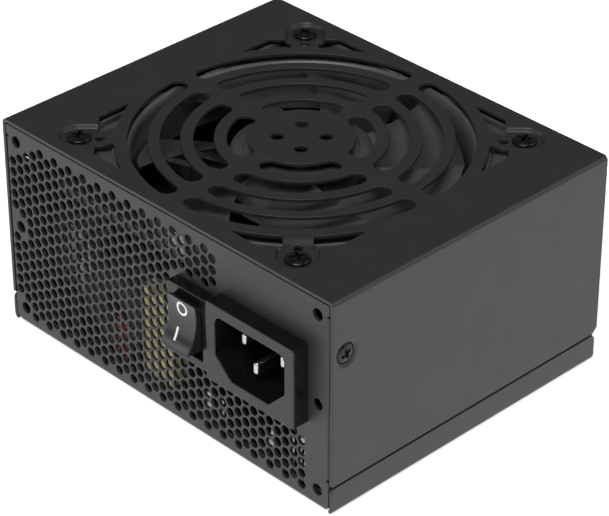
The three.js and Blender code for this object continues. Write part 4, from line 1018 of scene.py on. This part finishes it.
def make_stage():
    """A plain pale floor, soft light from both front sides, and the camera."""
    stage = settings().stage
    material = bpy.data.materials.new("floor")
    material.use_nodes = True
    material.diffuse_color = (*stage.floor, 1)
    surface = material.node_tree.nodes["Principled BSDF"]
    surface.inputs["Base Color"].default_value = (*stage.floor, 1)
    surface.inputs["Roughness"].default_value = 0.9
    surface.inputs["Emission Color"].default_value = (*stage.floor, 1)
    surface.inputs["Emission Strength"].default_value = stage.glow
    mesh = bpy.data.meshes.new("floor")
    mesh.from_pydata([(x, y, -0.0005) for x, y in ((-6, -6), (6, -6), (6, 6), (-6, 6))], [], [(0, 1, 2, 3)])
    mesh.materials.append(material)
    floor = bpy.data.objects.new("floor", mesh)
    bpy.context.scene.collection.objects.link(floor)

    world = bpy.data.worlds.new("studio")
    world.use_nodes = True
    world.node_tree.nodes["Background"].inputs["Color"].default_value = (1, 1, 1, 1)
    world.node_tree.nodes["Background"].inputs["Strength"].default_value = stage.sky
    bpy.context.scene.world = world
    area_light("front_left", 5, (1.0, 0.7), (-1.3, -1.5, 0.75))
    area_light("front", 20, (0.9, 0.6), (0.55, -0.85, 1.4))
    area_light("right", 7, (0.9, 0.6), (1.2, 1.0, 1.15))
    bpy.context.scene.view_settings.view_transform = "Standard"

    camera_data = bpy.data.cameras.new("camera")
    camera_data.sensor_width = 36
    camera_data.lens = stage.lens
    camera_data.clip_start = 0.05
    camera = bpy.data.objects.new("camera", camera_data)
    bpy.context.scene.collection.objects.link(camera)
    a, e = stage.azimuth, stage.elevation
    back = Vector((math.sin(a) * math.cos(e), -math.cos(a) * math.cos(e), math.sin(e)))
    right = Vector((math.cos(a), math.sin(a), 0))
    up = back.cross(right)
    middle = Vector((0, 0, CAD_BOX[1][2] / 2))
    camera.location = middle + back * stage.distance + right * 0.000748 - up * 0.005127
    camera.rotation_euler = (-back).to_track_quat("-Z", "Y").to_euler()
    bpy.context.scene.camera = camera


# ---- Operators ----

class PSU_OT_finishes(bpy.types.Operator):
    """Make every finish"""

    bl_idname = "psu.finishes"
    bl_label = "Finishes"

    def execute(self, context):
        make_finishes()
        return {"FINISHED"}


class PSU_OT_top_cover(bpy.types.Operator):
    """Make the folded cover with its grille and screw seats"""

    bl_idname = "psu.top_cover"
    bl_label = "Top cover"

    def execute(self, context):
        make_top_cover()
        return {"FINISHED"}


class PSU_OT_base(bpy.types.Operator):
    """Make the floor, the perforated mains panel and the output panel"""

    bl_idname = "psu.base"
    bl_label = "Base and panels"

    def execute(self, context):
        make_base()
        return {"FINISHED"}


class PSU_OT_sockets(bpy.types.Operator):
    """Make the output sockets and their contacts"""

    bl_idname = "psu.sockets"
    bl_label = "Output sockets"

    def execute(self, context):
        make_sockets()
        return {"FINISHED"}


class PSU_OT_screws(bpy.types.Operator):
    """Make the screws of the fan and the cover"""

    bl_idname = "psu.screws"
    bl_label = "Screws"

    def execute(self, context):
        make_screws()
        return {"FINISHED"}


class PSU_OT_inlet(bpy.types.Operator):
    """Make the mains inlet and its pins"""

    bl_idname = "psu.inlet"
    bl_label = "Mains inlet"

    def execute(self, context):
        make_inlet()
        return {"FINISHED"}


class PSU_OT_switch(bpy.types.Operator):
    """Make the rocker switch and its marks"""

    bl_idname = "psu.switch"
    bl_label = "Rocker switch"

    def execute(self, context):
        make_switch()
        return {"FINISHED"}


class PSU_OT_fan(bpy.types.Operator):
    """Make the fan's frame and its wheel"""

    bl_idname = "psu.fan"
    bl_label = "Fan"

    def execute(self, context):
        make_fan()
        return {"FINISHED"}


class PSU_OT_details(bpy.types.Operator):
    """Make the small parts that show through the vent"""

    bl_idname = "psu.details"
    bl_label = "Small parts"

    def execute(self, context):
        make_details()
        return {"FINISHED"}


class PSU_OT_inside(bpy.types.Operator):
    """Give the parts inside the case their finishes"""

    bl_idname = "psu.inside"
    bl_label = "Inside parts"

    def execute(self, context):
        dress_nodes()
        return {"FINISHED"}


class PSU_OT_stage(bpy.types.Operator):
    """Make the floor, the lights and the camera"""

    bl_idname = "psu.stage"
    bl_label = "Stage"

    def execute(self, context):
        make_stage()
        return {"FINISHED"}


STEPS = [
    PSU_OT_finishes, PSU_OT_top_cover, PSU_OT_base, PSU_OT_sockets, PSU_OT_screws, PSU_OT_inlet, PSU_OT_switch,
    PSU_OT_fan, PSU_OT_details, PSU_OT_inside, PSU_OT_stage,
]


class PSU_PT_panel(bpy.types.Panel):
    """Lists the steps in their order"""

    bl_idname = "PSU_PT_panel"
    bl_label = "Power Supply"
    bl_space_type = "VIEW_3D"
    bl_region_type = "UI"
    bl_category = "Power Supply"

    def draw(self, context):
        for step in STEPS:
            self.layout.operator(step.bl_idname)


CLASSES = [
    PSU_PG_case, PSU_PG_vent, PSU_PG_fan, PSU_PG_switch, PSU_PG_stage, PSU_PG_settings, *STEPS, PSU_PT_panel,
]


def register():
    for each in CLASSES:
        bpy.utils.register_class(each)
    bpy.types.Scene.power_supply = bpy.props.PointerProperty(
        type=PSU_PG_settings, name="Power supply", description="Sizes and colours of the power supply"
    )


def unregister():
    del bpy.types.Scene.power_supply
    for each in reversed(CLASSES):
        bpy.utils.unregister_class(each)


def main():
    """Registers the add-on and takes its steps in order."""
    register()
    for step in STEPS:
        group, name = step.bl_idname.split(".")
        getattr(getattr(bpy.ops, group), name)()


if __name__ == "__main__":
    main()
